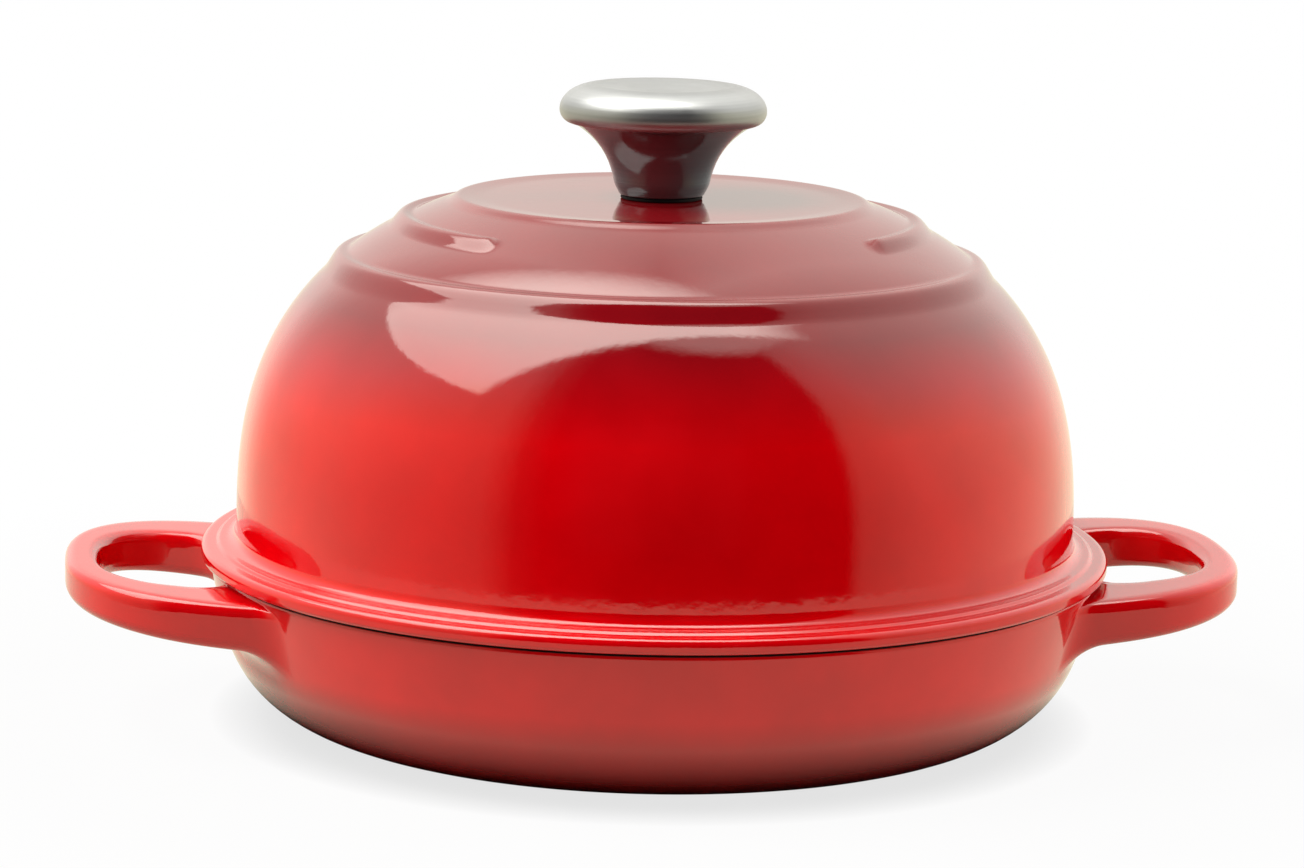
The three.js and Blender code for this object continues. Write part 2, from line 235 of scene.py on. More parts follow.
class LidSizes(bpy.types.PropertyGroup):
    """Sizes of the domed lid"""

    seat_gap: length("Seat gap", "Between the rim and the flange", 0.3)
    dome_inset: length("Dome inset", "From the rim in to the dome's foot", 7.4)
    dome_spring: length("Dome spring", "From the seat up to the dome's foot", 10)
    dome_rise: length("Dome rise", "Height of the full dome curve", 95.3)
    dome_start: length("Dome start", "From the top ring's crest out to the dome's curve", 0.6)
    wall: length("Wall", "Thickness of the dome", 4.4)
    flange_overhang: length("Flange overhang", "Flange beyond the rim", 2.2)
    flange_thickness: length("Flange thickness", "Height of the flange's edge", 4.2)
    flange_top_edge: length("Flange top edge", "Upper rounding of the flange", 1.8)
    flange_bottom_edge: length("Flange bottom edge", "Lower rounding of the flange", 1.3)
    flange_band: length("Flange band", "Width of the flange's lower band", 4.6)
    flange_step: length("Flange step", "Height of the step on the flange", 0.8)
    flange_step_run: length("Step run", "Width of that step", 0.9)
    flange_step_edge: length("Step edge", "Rounding of that step", 0.8)
    flange_fillet: length("Flange fillet", "Where the flange meets the dome", 3)
    red_underside: length("Red underside", "Red left under the flange's edge", 1.5)
    lip_depth: length("Lip depth", "Depth of the centring lip", 4)
    lip_clearance: length("Lip clearance", "Between the lip and the pan", 1)
    lip_edge: length("Lip edge", "Rounding of the lip", 1.2)
    top_ring_radius: length("Top ring radius", "Crest of the ring round the disc", 55.5)
    top_ring_width: length("Top ring width", "Twice the run of that ring's outer slope", 7)
    top_ring_height: length("Top ring height", "Height of that ring", 0.85)
    top_ring_edge: length("Top ring edge", "Rounding of that ring's crest", 2.5)
    middle_ring_radius: length("Middle ring radius", "Crest of the open ring", 71.1)
    outer_ring_radius: length("Outer ring radius", "Crest of the outer ring", 88.5)
    ring_width: length("Ring width", "Width of the middle and outer rings", 7.6)
    middle_ring_height: length("Middle ring height", "Height of the open ring", 1.8)
    outer_ring_height: length("Outer ring height", "Height of the outer ring", 1.95)
    middle_ring_opening: angle("Ring opening", "Angle left open at the front", 94)
    disc_drop: length("Disc drop", "Depth of the flat disc under the top ring's crest", 0.43)
    disc_margin: length("Disc margin", "From the top ring's crest in to the disc", 6.5)
    disc_thickness: length("Disc thickness", "Thickness under the knob", 4.9)
    disc_edge: length("Disc edge", "Rounding round the disc", 12)


class KnobSizes(bpy.types.PropertyGroup):
    """Sizes of the knob"""

    face_gap: length("Face gap", "Between stacked faces", 0.1)
    seat_ring_radius: length("Seat ring radius", "Outside of the gasket", 11.2)
    seat_ring_thickness: length("Seat ring", "Thickness of the gasket", 0.9)
    stem_foot_radius: length("Stem foot radius", "Outside of the stem's foot", 11.5)
    stem_foot_edge: length("Stem foot edge", "Rounding of the stem's foot", 0.8)
    stem_height: length("Stem height", "From the foot to the cap", 19.6)
    stem_ankle_radius: length("Ankle radius", "Where the foot's taper turns into the flare", 13.1)
    stem_ankle_height: length("Ankle height", "From the foot to that turn", 3)
    stem_ankle_edge: length("Ankle edge", "Rounding of that turn", 6)
    stem_waist_radius: length("Waist radius", "Control point of the flare", 14.6)
    stem_waist_height: length("Waist height", "Height of that control point", 13.7)
    cap_radius: length("Cap radius", "Widest part of the cap", 28.3)
    cap_shoulder_width: length("Cap shoulder width", "Run of the upper rounding", 9.5)
    cap_shoulder_height: length("Cap shoulder height", "Rise of the upper rounding", 6.8)
    cap_lip_width: length("Cap lip width", "Run of the lower rounding", 3.3)
    cap_lip_height: length("Cap lip height", "Drop of the lower rounding", 3.6)
    cap_dish: length("Cap dish", "Depth of the dished top", 1.8)
    cap_sheet: length("Cap sheet", "Thickness of the steel", 1.2)
    cap_fit: length("Cap fit", "Between the cap and the stem", 0.3)
    socket_radius: length("Socket radius", "Hollow in the stem for its bush", 6.05)
    socket_depth: length("Socket depth", "Depth of that hollow", 15.5)
    socket_edge: length("Socket edge", "Rounding of that hollow", 0.3)


class FixingSizes(bpy.types.PropertyGroup):
    """Sizes of the screw and its washers"""

    screw_radius: length("Screw radius", "Outside of the thread", 3)
    screw_length: length("Screw length", "From under the head to the tip", 24)
    head_radius: length("Head radius", "Outside of the pan head", 6)
    head_height: length("Head height", "Height of the pan head", 4.2)
    head_edge: length("Head edge", "Rounding of the pan head", 2)
    screw_edge: length("Screw edge", "Small roundings of head and tip", 0.2)
    tip_chamfer: length("Tip chamfer", "Chamfer of the tip", 0.8)
    thread_pitch: length("Thread pitch", "Rise of one turn", 1)
    thread_depth: length("Thread depth", "Depth of the thread", 0.45)
    drive_width: length("Drive width", "Width of a slot of the cross drive", 1.4)
    drive_length: length("Drive length", "Length of a slot of the cross drive", 6.4)
    drive_depth: length("Drive depth", "Depth of the cross drive", 2.4)
    drive_border: length("Drive border", "Soft border of the cross drive", 0.25)
    hole_clearance: length("Hole clearance", "Between screw and lid", 0.4)
    washer_clearance: length("Washer clearance", "Between screw and washers", 0.25)
    washer_radius: length("Washer radius", "Outside of the flat washer", 9)
    washer_thickness: length("Washer thickness", "Thickness of both washers", 1.6)
    washer_edge: length("Washer edge", "Rounding of the flat washer", 0.3)
    spring_radius: length("Spring radius", "Outside of the spring washer", 5.9)
    spring_edge: length("Spring edge", "Rounding of the spring washer", 0.15)
    spring_split: angle("Spring split", "Angle of the spring washer's split", 14)


class FinishColours(bpy.types.PropertyGroup):
    """Colours of the finishes"""

    enamel: colour("Cherry enamel", "Full red of the dome", "#d00008")
    # partly the spray's deeper red, partly painted shade on the upward faces round the knob
    top_enamel_and_shade: colour("Enamel top", "Deeper red round the knob", "#800a12")
    # partly the spray's darker foot, partly painted shade where the pan meets the floor
    foot_enamel_and_shade: colour("Enamel foot", "Brownish red at the pan's foot", "#3c0c0a")
    enamel_wall: colour("Enamel wall", "Red of the pan's wall", "#d60b11")
    black_enamel: colour("Black enamel", "Inside and rims", "#171314")
    stainless: colour("Stainless steel", "Cap of the knob", "#9c9ea0")
    stem: colour("Polished steel", "Stem of the knob", "#7f9093")
    # partly the gasket's own black, partly painted shade for the shadow line under the stem's foot
    gasket_black_and_shade: colour("Silicone", "Gasket of the knob", "#0e0d0e")
    fixings: colour("Fixings", "Screw and washers", "#b5b3af")
    paper: colour("Paper", "Studio floor", "#b0aeac")


class StudioSettings(bpy.types.PropertyGroup):
    """Camera and lights"""

    distance: length("Distance", "Camera from the oven's axis", 1250)
    eye_height: length("Eye height", "Camera above the floor", 303.8)
    turn: angle("Turn", "Oven turned under the camera", 7)
    tilt: angle("Tilt", "Camera tilted down", 10.216)
    swing: angle("Swing", "Camera swung right", -0.058)
    roll: angle("Roll", "Camera rolled", 1.179)
    focal_pixels: amount("Focal length", "In pixels of the photograph's width", 4602.37)
    floor_radius: length("Floor radius", "Round floor of the studio", 370)
    key_gloss: amount("Key gloss", "Brightness of the softbox above left as the gloss shows it", 8.8)
    left_light: amount("Left light", "Soft light from the left, in watts", 100.0)
    right_light: amount("Right light", "Soft light from the right, in watts", 56.0)
    front_light: amount("Front light", "Soft light from the camera's side, in watts", 14.0)
    room_gloss: amount("Room gloss", "Brightness of the walls as the gloss shows them", 1.2)
    room_light: amount("Room light", "Brightness of the walls as they light the colours", 0.15)
    overhead: amount("Overhead", "Brightness of the walls straight up, over that at eye level", 1.9)
    ceiling: amount("Ceiling", "Brightness of the ceiling light", 2.0)
    ceiling_lean: amount("Ceiling lean", "Slope of the ceiling light to the right", 0.15)
    lamp_width: length("Lamp width", "Width of a lamp's softbox", 1950)
    lamp_height: length("Lamp height", "Height of a lamp's softbox", 1750)
    lamp_distance: length("Lamp distance", "From a lamp to the oven", 2400)
    lamp_aim: length("Lamp aim", "Height that the lamps face", 100)


class BreadOvenSettings(bpy.types.PropertyGroup):
    """Everything that the bread oven is built from"""

    pan: PointerProperty(type=PanSizes)
    handle: PointerProperty(type=HandleSizes)
    lid: PointerProperty(type=LidSizes)
    knob: PointerProperty(type=KnobSizes)
    fixing: PointerProperty(type=FixingSizes)
    finish: PointerProperty(type=FinishColours)
    studio: PointerProperty(type=StudioSettings)


def dome_height(lid, base, radius, r):
    """Height of the dome over the radius: a superellipse of the dome's rise and radius above its foot."""
    inside = np.maximum(0, 1 - (r / radius) ** DOME_POWER)
    return base + lid.dome_rise * inside ** (1 / DOME_POWER)


def stations(settings):
    """Heights and radii where the pieces meet, added up from the pan's underside to the cap's crest."""
    pan, lid, knob, fixing = settings.pan, settings.lid, settings.knob, settings.fixing
    at = SimpleNamespace()
    at.seat = pan.height + lid.seat_gap
    at.dome_radius = pan.rim_radius - lid.dome_inset
    at.dome_base = at.seat + lid.dome_spring
    at.dome_inside = at.dome_radius - lid.wall
    at.flange_radius = pan.rim_radius + lid.flange_overhang
    at.flange_top = at.seat + lid.flange_thickness
    at.lip_bottom = at.seat - lid.lip_depth
    at.lip_radius = pan_inside(pan, at.lip_bottom) - lid.lip_clearance
    at.disc_radius = lid.top_ring_radius - lid.disc_margin
    under_crest = dome_height(lid, at.dome_base, at.dome_radius, lid.top_ring_radius)
    at.disc_top = under_crest + lid.top_ring_height - lid.disc_drop
    at.disc_bottom = at.disc_top - lid.disc_thickness
    at.screw_hole = fixing.screw_radius + fixing.hole_clearance
    at.ring_bottom = at.disc_top + knob.face_gap
    at.ring_top = at.ring_bottom + knob.seat_ring_thickness
    at.stem_foot = at.ring_top + knob.face_gap
    at.stem_top = at.stem_foot + knob.stem_height
    at.cap_lip = knob.cap_radius - knob.cap_lip_width
    at.cap_shoulder = knob.cap_radius - knob.cap_shoulder_width
    at.cap_widest = at.stem_top + knob.cap_lip_height
    at.cap_crest = at.cap_widest + knob.cap_shoulder_height
    at.washer_top = at.disc_bottom - knob.face_gap
    at.washer_bottom = at.washer_top - fixing.washer_thickness
    at.spring_top = at.washer_bottom - knob.face_gap
    at.spring_bottom = at.spring_top - fixing.washer_thickness
    at.head_top = at.spring_bottom - knob.face_gap
    at.head_bottom = at.head_top - fixing.head_height
    return at


def unit(vectors):
    return vectors / np.linalg.norm(vectors, axis=-1, keepdims=True)


def polar(r, a):
    """Points in plan at a polar radius and angle."""
    return np.stack([r * np.cos(a), r * np.sin(a)], -1)


def superellipse(quarter, power):
    """Both coordinates of a unit superellipse over a quarter turn: cosine and sine to 2 over the power."""
    return np.abs(np.cos(quarter)) ** (2 / power), np.sin(quarter) ** (2 / power)


def lengths(line):
    """Length of a polyline from its start to each of its points."""
    return np.r_[0, np.cumsum(np.linalg.norm(np.diff(line, axis=0), axis=1))]


def points_at(line, stops):
    """Points of a polyline at given lengths from its start."""
    along = lengths(line)
    return np.stack([np.interp(stops, along, line[:, k]) for k in (0, 1)], 1)


def rounded(corners):
    """Polyline through corners (r, z, rounding), the first and last left sharp.

    A rounded corner becomes the arc that touches both sides at rounding / tan(half its angle) from it.
    """
    corners = np.asarray(corners, float)
    spots, roundings = corners[:, :2], corners[:, 2]
    backward = unit(spots[:-2] - spots[1:-1])
    forward = unit(spots[2:] - spots[1:-1])
    half = np.arccos(np.clip((backward * forward).sum(1), -1, 1)) / 2
    line = [spots[:1]]
    for spot, rounding, back, ahead, open_half in zip(
        spots[1:-1], roundings[1:-1], backward, forward, half
    ):
        if rounding == 0:
            line.append(spot[None])
            continue
        centre = spot + unit(back + ahead) * rounding / math.sin(open_half)
        start = spot + back * rounding / math.tan(open_half) - centre
        sweep = math.pi - 2 * open_half
        turn = math.copysign(sweep, back[1] * ahead[0] - back[0] * ahead[1])
        swing = np.linspace(0, turn, max(LEAST_ARC_POINTS, math.ceil(sweep / ARC_STEP)))
        cos, sin = np.cos(swing), np.sin(swing)
        arc = [cos * start[0] - sin * start[1], sin * start[0] + cos * start[1]]
        line.append(np.stack(arc, 1) + centre)
    return np.vstack([*line, spots[-1:]])


def spread(line):
    """Respaces a polyline so that each step turns by about the set bend.

    The step at a point is the bend times the local radius, may grow by a set share of the distance from
    any tighter point, and stops at the longest step; points fall where the sum of 1 / step is whole.
    """
    line = line[np.r_[True, np.linalg.norm(np.diff(line, axis=0), axis=1) > TINY]]
    step = np.diff(line, axis=0)
    size = np.hypot(*step.T)
    along = lengths(line)
    turn = np.abs(np.angle(np.exp(1j * np.diff(np.arctan2(step[:, 1], step[:, 0])))))
    wanted = BEND * (size[:-1] + size[1:]) / 2 / np.maximum(turn, TINY)
    fine = np.linspace(0, along[-1], FINE_POINTS)
    reach = wanted + STEP_GROWTH * np.abs(fine[:, None] - along[1:-1])
    spacing = np.minimum(LONGEST_STEP, reach.min(1))
    density = 1 / spacing
    count = np.r_[0, np.cumsum((density[1:] + density[:-1]) / 2 * np.diff(fine))]
    whole = np.linspace(0, count[-1], math.ceil(count[-1]) + 1)
    return points_at(line, np.interp(whole, count, fine))


def swept(line, around):
    """Grid of a profile (r, z) swept about Z through given angles: r cos a, r sin a, z."""
    r, z = line[:, :1], line[:, 1:]
    return np.stack([r * np.cos(around), r * np.sin(around), z + 0 * around], -1)


def turned(line, columns):
    """Grid of a profile (r, z) turned right round Z, with the seam at the back."""
    return swept(line, math.pi / 2 + 2 * math.pi * np.arange(columns) / columns)


def lattice(points, closed_rows=False, poles=(None, None), slot_rows=None):
    """Faces of a grid of points (rows, columns, 3) that closes round its columns.

    Rows also close where asked, or else each end closes in a fan on its pole. slot_rows gives each row of
    faces a material slot. The faces are turned to give a positive volume, so they point outwards.
    """
    rows, columns = points.shape[:2]
    index = np.arange(rows * columns).reshape(rows, columns)
    if closed_rows:
        index = np.vstack([index, index[:1]])
    index = np.hstack([index, index[:, :1]])
    corners = [index[:-1, :-1], index[:-1, 1:], index[1:, 1:], index[1:, :-1]]
    quads = np.stack(corners, -1).reshape(-1, 4)
    slot_rows = np.zeros(len(index) - 1, int) if slot_rows is None else slot_rows
    slots = np.repeat(slot_rows, columns)
    spots = [points.reshape(-1, 3)]
    fans, fan_slots = [np.empty((0, 3), int)], []
    for pole, row, slot, flip in (
        (poles[0], index[0], slot_rows[0], False),
        (poles[1], index[-1], slot_rows[-1], True),
    ):
        if pole is None:
            continue
        tip = np.full(columns, sum(map(len, spots)))
        spots.append(np.asarray(pole, float)[None])
        fan = np.stack([tip, row[1:], row[:-1]], 1)
        fans.append(fan[:, ::-1] if flip else fan)
        fan_slots.append(np.full(columns, slot))
    spots, fans = np.vstack(spots), np.vstack(fans)
    halves = np.vstack([quads[:, :3], quads[:, [0, 2, 3]], fans])
    a, b, c = (spots[halves[:, k]] for k in range(3))
    if (np.cross(a, b) * c).sum() < 0:
        quads, fans = quads[:, ::-1], fans[:, ::-1]
    return SimpleNamespace(
        spots=spots, quads=quads, fans=fans, slots=np.concatenate([slots, *fan_slots]).astype(int)
    )


def solid_of_revolution(line, columns, slot_rows=None):
    """A turned profile whose ends lie on the axis, where they become poles."""
    grid = turned(line[1:-1], columns)
    poles = [(0, 0, line[k, 1]) for k in (0, -1)]
    slots = None if slot_rows is None else slot_rows[1:-1]
    return lattice(grid, poles=poles, slot_rows=slots)


def ring_of_revolution(line, columns):
    """A turned profile that closes on itself, its last point equal to its first."""
    return lattice(turned(line[:-1], columns), closed_rows=True)


def piece(name, sheets, materials, body, replaced):
    """Joins sheets of faces into one smooth mesh object that rides on a body and stands for CAD nodes."""
    offsets = np.cumsum([0] + [len(s.spots) for s in sheets[:-1]])
    spots = np.vstack([s.spots for s in sheets])
    loops, sizes, slots = [], [], []
    for sheet, offset in zip(sheets, offsets):
        loops += [(sheet.quads + offset).ravel(), (sheet.fans + offset).ravel()]
        sizes += [np.full(len(sheet.quads), 4), np.full(len(sheet.fans), 3)]
        slots.append(sheet.slots)
    loops, sizes, slots = map(np.concatenate, (loops, sizes, slots))
    mesh = bpy.data.meshes.new(name)
    mesh.vertices.add(len(spots))
    mesh.vertices.foreach_set("co", spots.astype(np.float32).ravel())
    mesh.loops.add(len(loops))
    mesh.loops.foreach_set("vertex_index", loops.astype(np.int32))
    mesh.polygons.add(len(sizes))
    mesh.polygons.foreach_set("loop_start", (np.cumsum(sizes) - sizes).astype(np.int32))
    mesh.polygons.foreach_set("material_index", slots.astype(np.int32))
    mesh.update(calc_edges=True)
    mesh.shade_smooth()
    if mesh.validate():
        raise RuntimeError(f"{name} has faces that don't hold together")
    for material in materials:
        mesh.materials.append(material)
    made = bpy.data.objects.new(name, mesh)
    bpy.context.scene.collection.objects.link(made)
    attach(made, body)
    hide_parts(*replaced)


def pan_outside(pan, z):
    """Radius of the drafted wall's outside at a height."""
    return pan.rim_radius - (pan.height - z) * math.tan(pan.draft)


def pan_inside(pan, z):
    """Radius of the drafted wall's inside at a height."""
    return pan_outside(pan, z) - pan.wall / math.cos(pan.draft)


def pan_line(pan):
    """Profile of the pan from its underside over the rim to the floor, with trapezoid rings on it."""
    corners = [
        (0, 0, 0),
        (pan_outside(pan, 0), 0, pan.foot_corner),
        (pan.rim_radius, pan.height, pan.rim_edge),
        (pan_inside(pan, pan.height), pan.height, pan.rim_edge),
        (pan_inside(pan, pan.floor), pan.floor, pan.foot_corner - pan.wall),
    ]
    for crest in pan.ridge_pitch * np.arange(RIDGES, 0, -1):
        corners += [
            (crest + pan.ridge_width / 2, pan.floor, pan.ridge_edge),
            (crest + pan.ridge_crest / 2, pan.floor + pan.ridge_height, pan.ridge_edge),
            (crest - pan.ridge_crest / 2, pan.floor + pan.ridge_height, pan.ridge_edge),
            (crest - pan.ridge_width / 2, pan.floor, pan.ridge_edge),
        ]
    return rounded([*corners, (0, pan.floor, 0)])


def loop_edge(tip, half_width, fillet, outward, wall):
    """Plan of one edge of a handle's arm, from the tip to the wall and on along it.

    A quarter superellipse runs from the tip to the arm's full width, an arc of the fillet's radius turns
    it into the wall's circle, and a last stretch of the skin's length follows that circle.
    """
    side = half_width + outward * fillet
    root = math.sqrt((wall + fillet) ** 2 - side**2)
    out, across = superellipse(np.linspace(0, math.pi / 2, LOOP_POINTS), LOOP_POWER)
    bow = np.stack([root + (tip - root) * out, half_width * across], 1)
    start = -outward * math.pi / 2
    turn = math.remainder(math.atan2(-side, -root) - start, 2 * math.pi)
    swing = start + turn * np.linspace(0, 1, FILLET_POINTS)[1:]
    around = math.atan2(side, root) + outward * np.linspace(0, SKIN_LENGTH / wall, SKIN_POINTS)[1:]
    return np.vstack([bow, (root, side) + polar(fillet, swing), polar(wall, around)])


def polar_stations(edge, wall):
    """Radius and angle along an edge: even steps to the root, closer ones to the wall, then the skin's."""
    along = lengths(edge)
    r = np.hypot(*edge.T)
    wall_at = np.argmax(r < wall + TINY)
    away = ROOT_REACH * (1 - np.sin(np.linspace(0, math.pi / 2, ROOT_ROWS)))
    near = np.interp(-(wall + away), -r[: wall_at + 1], along[: wall_at + 1])
    arm = np.linspace(0, near[0], ARM_ROWS)[:-1]
    stops = np.concatenate([arm, near, along[wall_at] + SKIN_STEPS])
    x, y = points_at(edge, stops).T
    return np.hypot(x, y), np.arctan2(y, x)


def bar_columns(width, edge):
    """Shares across the bar, inner edge to outer edge, close together on the two rounded edges."""
    roll = edge * (1 - np.cos(np.linspace(0, math.pi / 2, EDGE_COLUMNS)))
    near = roll / width[:, None]
    flat = np.linspace(0, 1, FLAT_COLUMNS)[1:-1]
    middle = near[:, -1:] + (1 - 2 * near[:, -1:]) * flat
    return np.hstack([near, middle, 1 - near[:, ::-1]])


def edge_distance(spots, edge):
    """Distance in plan from each point to the nearest straight step of an edge."""
    start, run = edge[:-1], np.diff(edge, axis=0)
    to = spots[..., None, :] - start
    share = np.clip((to * run).sum(-1) / np.maximum((run**2).sum(1), TINY**2), 0, 1)
    return np.linalg.norm(to - share[..., None] * run, axis=-1).min(-1)


def loop_plan(handle, tip, wall):
    """Radius, angle and distance to the nearest edge over the grid of a handle's arm in plan.

    Rows run from the tip to the end of the skin on the wall, and each spans the loop's inner and outer
    edge in even shares of radius and angle.
    """
    inner_half = handle.half_width - handle.arm_bar
    inner = loop_edge(tip - handle.tip_bar, inner_half, handle.inner_fillet, -1, wall)
    outer = loop_edge(tip, handle.half_width, handle.outer_fillet, 1, wall)
    inner_r, inner_a = polar_stations(inner, wall)
    outer_r, outer_a = polar_stations(outer, wall)
    inner_xy, outer_xy = polar(inner_r, inner_a), polar(outer_r, outer_a)
    across = bar_columns(np.linalg.norm(outer_xy - inner_xy, axis=1), handle.edge)
    r = inner_r[:, None] + (outer_r - inner_r)[:, None] * across
    a = inner_a[:, None] + (outer_a - inner_a)[:, None] * across
    spots = polar(r, a)
    return r, a, np.minimum(edge_distance(spots, inner_xy), edge_distance(spots, outer_xy))


def flare(away, fillet):
    """Growth of a section as it nears the wall: the quarter circle that ends along the wall."""
    short = np.clip(fillet - away, 0, fillet)
    return fillet - np.sqrt(fillet**2 - short**2)


def handle_sheet(pan, handle, outside, side):
    """One loop handle as a section carried along the loop, from one root on the wall to the other.

    The section's height is the bar's, which grows evenly from the tip to the wall, less a circular
    rounding by the distance to the nearest edge, and it flares by a quarter circle where it nears the
    wall. The plan rises outwards, and near the wall it is drawn in to the wall's own radius at each
    height, so that the flared end lies along the wall.
    """
    middle = pan.height - handle.drop - handle.root_thickness / 2
    wall = pan_outside(pan, middle)
    tip = pan.rim_radius + handle.reach
    r, a, gap = loop_plan(handle, tip, wall)
    short = handle.edge - np.minimum(gap, handle.edge)
    rolled = np.sqrt(handle.edge**2 - short**2)
    past = np.r_[np.zeros(len(r) - len(SKIN_STEPS)), SKIN_STEPS][:, None]
    inward = (tip - r * np.cos(a)) / (tip - wall)
    growth = 1 + (handle.root_thickness / handle.tip_thickness - 1) * inward
    half = (handle.tip_thickness / 2 - handle.edge + rolled) * growth
    top = half + flare(r - wall, handle.upper_fillet) + SKIN_CREEP * past
    bottom = -half - flare(r - wall, handle.under_fillet) - past
    shares = np.linspace(0, 1, SIDE_COLUMNS)[1:-1]
    outer_side = top[:, -1:] + (bottom[:, -1:] - top[:, -1:]) * shares
    inner_side = bottom[:, :1] + (top[:, :1] - bottom[:, :1]) * shares
    height = np.hstack([top, outer_side, bottom[:, ::-1], inner_side])
    columns = np.arange(r.shape[1])
    sides = [np.full(len(shares), column) for column in columns[[-1, 0]]]
    around = np.concatenate([columns, sides[0], columns[::-1], sides[1]])
    r, a = r[:, around], a[:, around]
    z = middle + (r * np.cos(a) - wall) * math.tan(handle.rise) + height
    near = np.clip(1 - (r - wall) / BLEND_REACH, 0, 1)
    near = near**2 * (3 - 2 * near)
    wall_here = np.interp(z, outside[:, 1], outside[:, 0])
    r = r + (wall_here - wall - SKIN_DIP * past / SKIN_LENGTH) * near
    arm = np.dstack([polar(r, a), z])
    loop = np.concatenate([arm[::-1], arm[1:] * (1, -1, 1)]) * (side, side, 1)
    return lattice(loop, poles=(loop[0].mean(0), loop[-1].mean(0)))


def ring_bump(gap, width, height):
    """Height of a raised ring at a distance from its crest: a squared cosine over the ring's width."""
    return height * np.cos(np.clip(2 * gap / width, -1, 1) * math.pi / 2) ** 2


def dome_line(lid, at):
    """The dome's outside from the top ring to its foot: the superellipse with three raised rings on it."""
    first = lid.top_ring_radius + lid.dome_start
    steps = np.linspace(1, 0, DOME_POINTS) ** DOME_CROWDING
    quarter = np.arccos((first / at.dome_radius) ** (DOME_POWER / 2)) * steps
    out, up = superellipse(quarter, DOME_POWER)
    r, z = at.dome_radius * out, at.dome_base + lid.dome_rise * up
    for radius, width, height in (
        (lid.top_ring_radius, lid.top_ring_width, lid.top_ring_height),
        (lid.middle_ring_radius, lid.ring_width, lid.middle_ring_height),
        (lid.outer_ring_radius, lid.ring_width, lid.outer_ring_height),
    ):
        z = z + ring_bump(r - radius, width, height)
    return np.stack([r, z], 1)


def lid_line(lid, at):
    """Closed profile of the lid: disc, rings, dome, stepped flange, lip, hollow and pad at the screw."""
    dome = dome_line(lid, at)
    disc = [
        (at.screw_hole, at.disc_top, 0),
        (at.disc_radius, at.disc_top, lid.disc_edge),
        (lid.top_ring_radius, at.disc_top + lid.disc_drop, lid.top_ring_edge),
        (*dome[0], 0),
    ]
    inner_band = at.flange_radius - lid.flange_band
    upper_band = at.flange_top + lid.flange_step
    flange = [
        (at.dome_radius, at.dome_base, 0),
        (at.dome_radius, upper_band, lid.flange_fillet),
        (inner_band - lid.flange_step_run / 2, upper_band, lid.flange_step_edge),
        (inner_band + lid.flange_step_run / 2, at.flange_top, lid.flange_step_edge),
        (at.flange_radius, at.flange_top, lid.flange_top_edge),
        (at.flange_radius, at.seat, lid.flange_bottom_edge),
        (at.lip_radius, at.seat, lid.lip_edge),
        (at.lip_radius, at.lip_bottom, lid.lip_edge),
        (at.dome_inside, at.lip_bottom, lid.lip_edge),
        (at.dome_inside, at.dome_base, 0),
    ]
    rise = lid.dome_rise - lid.wall
    level = (at.disc_bottom - at.dome_base) / rise
    steps = np.linspace(0, 1, HOLLOW_POINTS) ** DOME_CROWDING
    quarter = np.arcsin(level ** (DOME_POWER / 2)) * steps
    out, up = superellipse(quarter, DOME_POWER)
    hollow = np.stack([at.dome_inside * out, at.dome_base + rise * up], 1)
    pad = [(hollow[-1, 0], at.disc_bottom), (at.screw_hole, at.disc_bottom), (at.screw_hole, at.disc_top)]
    return np.vstack([rounded(disc), dome, rounded(flange), hollow, pad])


def open_ring(grid, lid, at):
    """Lowers the middle ring over its front opening, with round ends.

    The gap from the crest is the plan distance to the crest's arc, which stops at the opening.
    """
    x, y, z = np.moveaxis(grid, -1, 0)
    r = np.hypot(x, y)
    from_front = np.abs(np.arctan2(x, -y))
    off_crest = r - lid.middle_ring_radius
    into = lid.middle_ring_radius * np.maximum(0, lid.middle_ring_opening / 2 - from_front)
    full = ring_bump(off_crest, lid.ring_width, lid.middle_ring_height)
    kept = ring_bump(np.hypot(off_crest, into), lid.ring_width, lid.middle_ring_height)
    outside = z > dome_height(lid, at.dome_base, at.dome_radius, r) - lid.wall / 2
    lowered = grid.copy()
    lowered[..., 2] -= np.where(outside, full - kept, 0)
    return lowered


def cap_side(knob, at, inset):
    """The cap's rounded side from its crest to its lip: an elliptic quarter above and one below."""
    quarter = np.linspace(0, math.pi / 2, CAP_POINTS)
    shoulder_r = at.cap_shoulder + (knob.cap_shoulder_width - inset) * np.sin(quarter)
    shoulder_z = at.cap_widest + (knob.cap_shoulder_height - inset) * np.cos(quarter)
    lip_r = at.cap_lip + (knob.cap_lip_width - inset) * np.cos(quarter)
    lip_z = at.cap_widest - (knob.cap_lip_height - inset) * np.sin(quarter)
    return np.stack([np.r_[shoulder_r, lip_r[1:]], np.r_[shoulder_z, lip_z[1:]]], 1)


def cap_dish(knob, at, inset):
    """The dished top from the axis to the crest: half a parabola and half a squared cosine."""
    share = np.linspace(0, 1, CAP_POINTS)[:-1]
    fall = (1 - share**2 + np.cos(share * math.pi / 2) ** 2) / 2
    return np.stack([share * at.cap_shoulder, at.cap_crest - knob.cap_dish * fall - inset], 1)


def cap_half(knob, at, inset):
    """Half of the cap's section from the axis over the crest to the lip."""
    return np.vstack([cap_dish(knob, at, inset), cap_side(knob, at, inset)])


def cap_line(knob, at):
    """Profile of the cap: outside from the axis to the lip, then back up the inside of the sheet."""
    return np.vstack([cap_half(knob, at, 0), cap_half(knob, at, knob.cap_sheet)[::-1]])


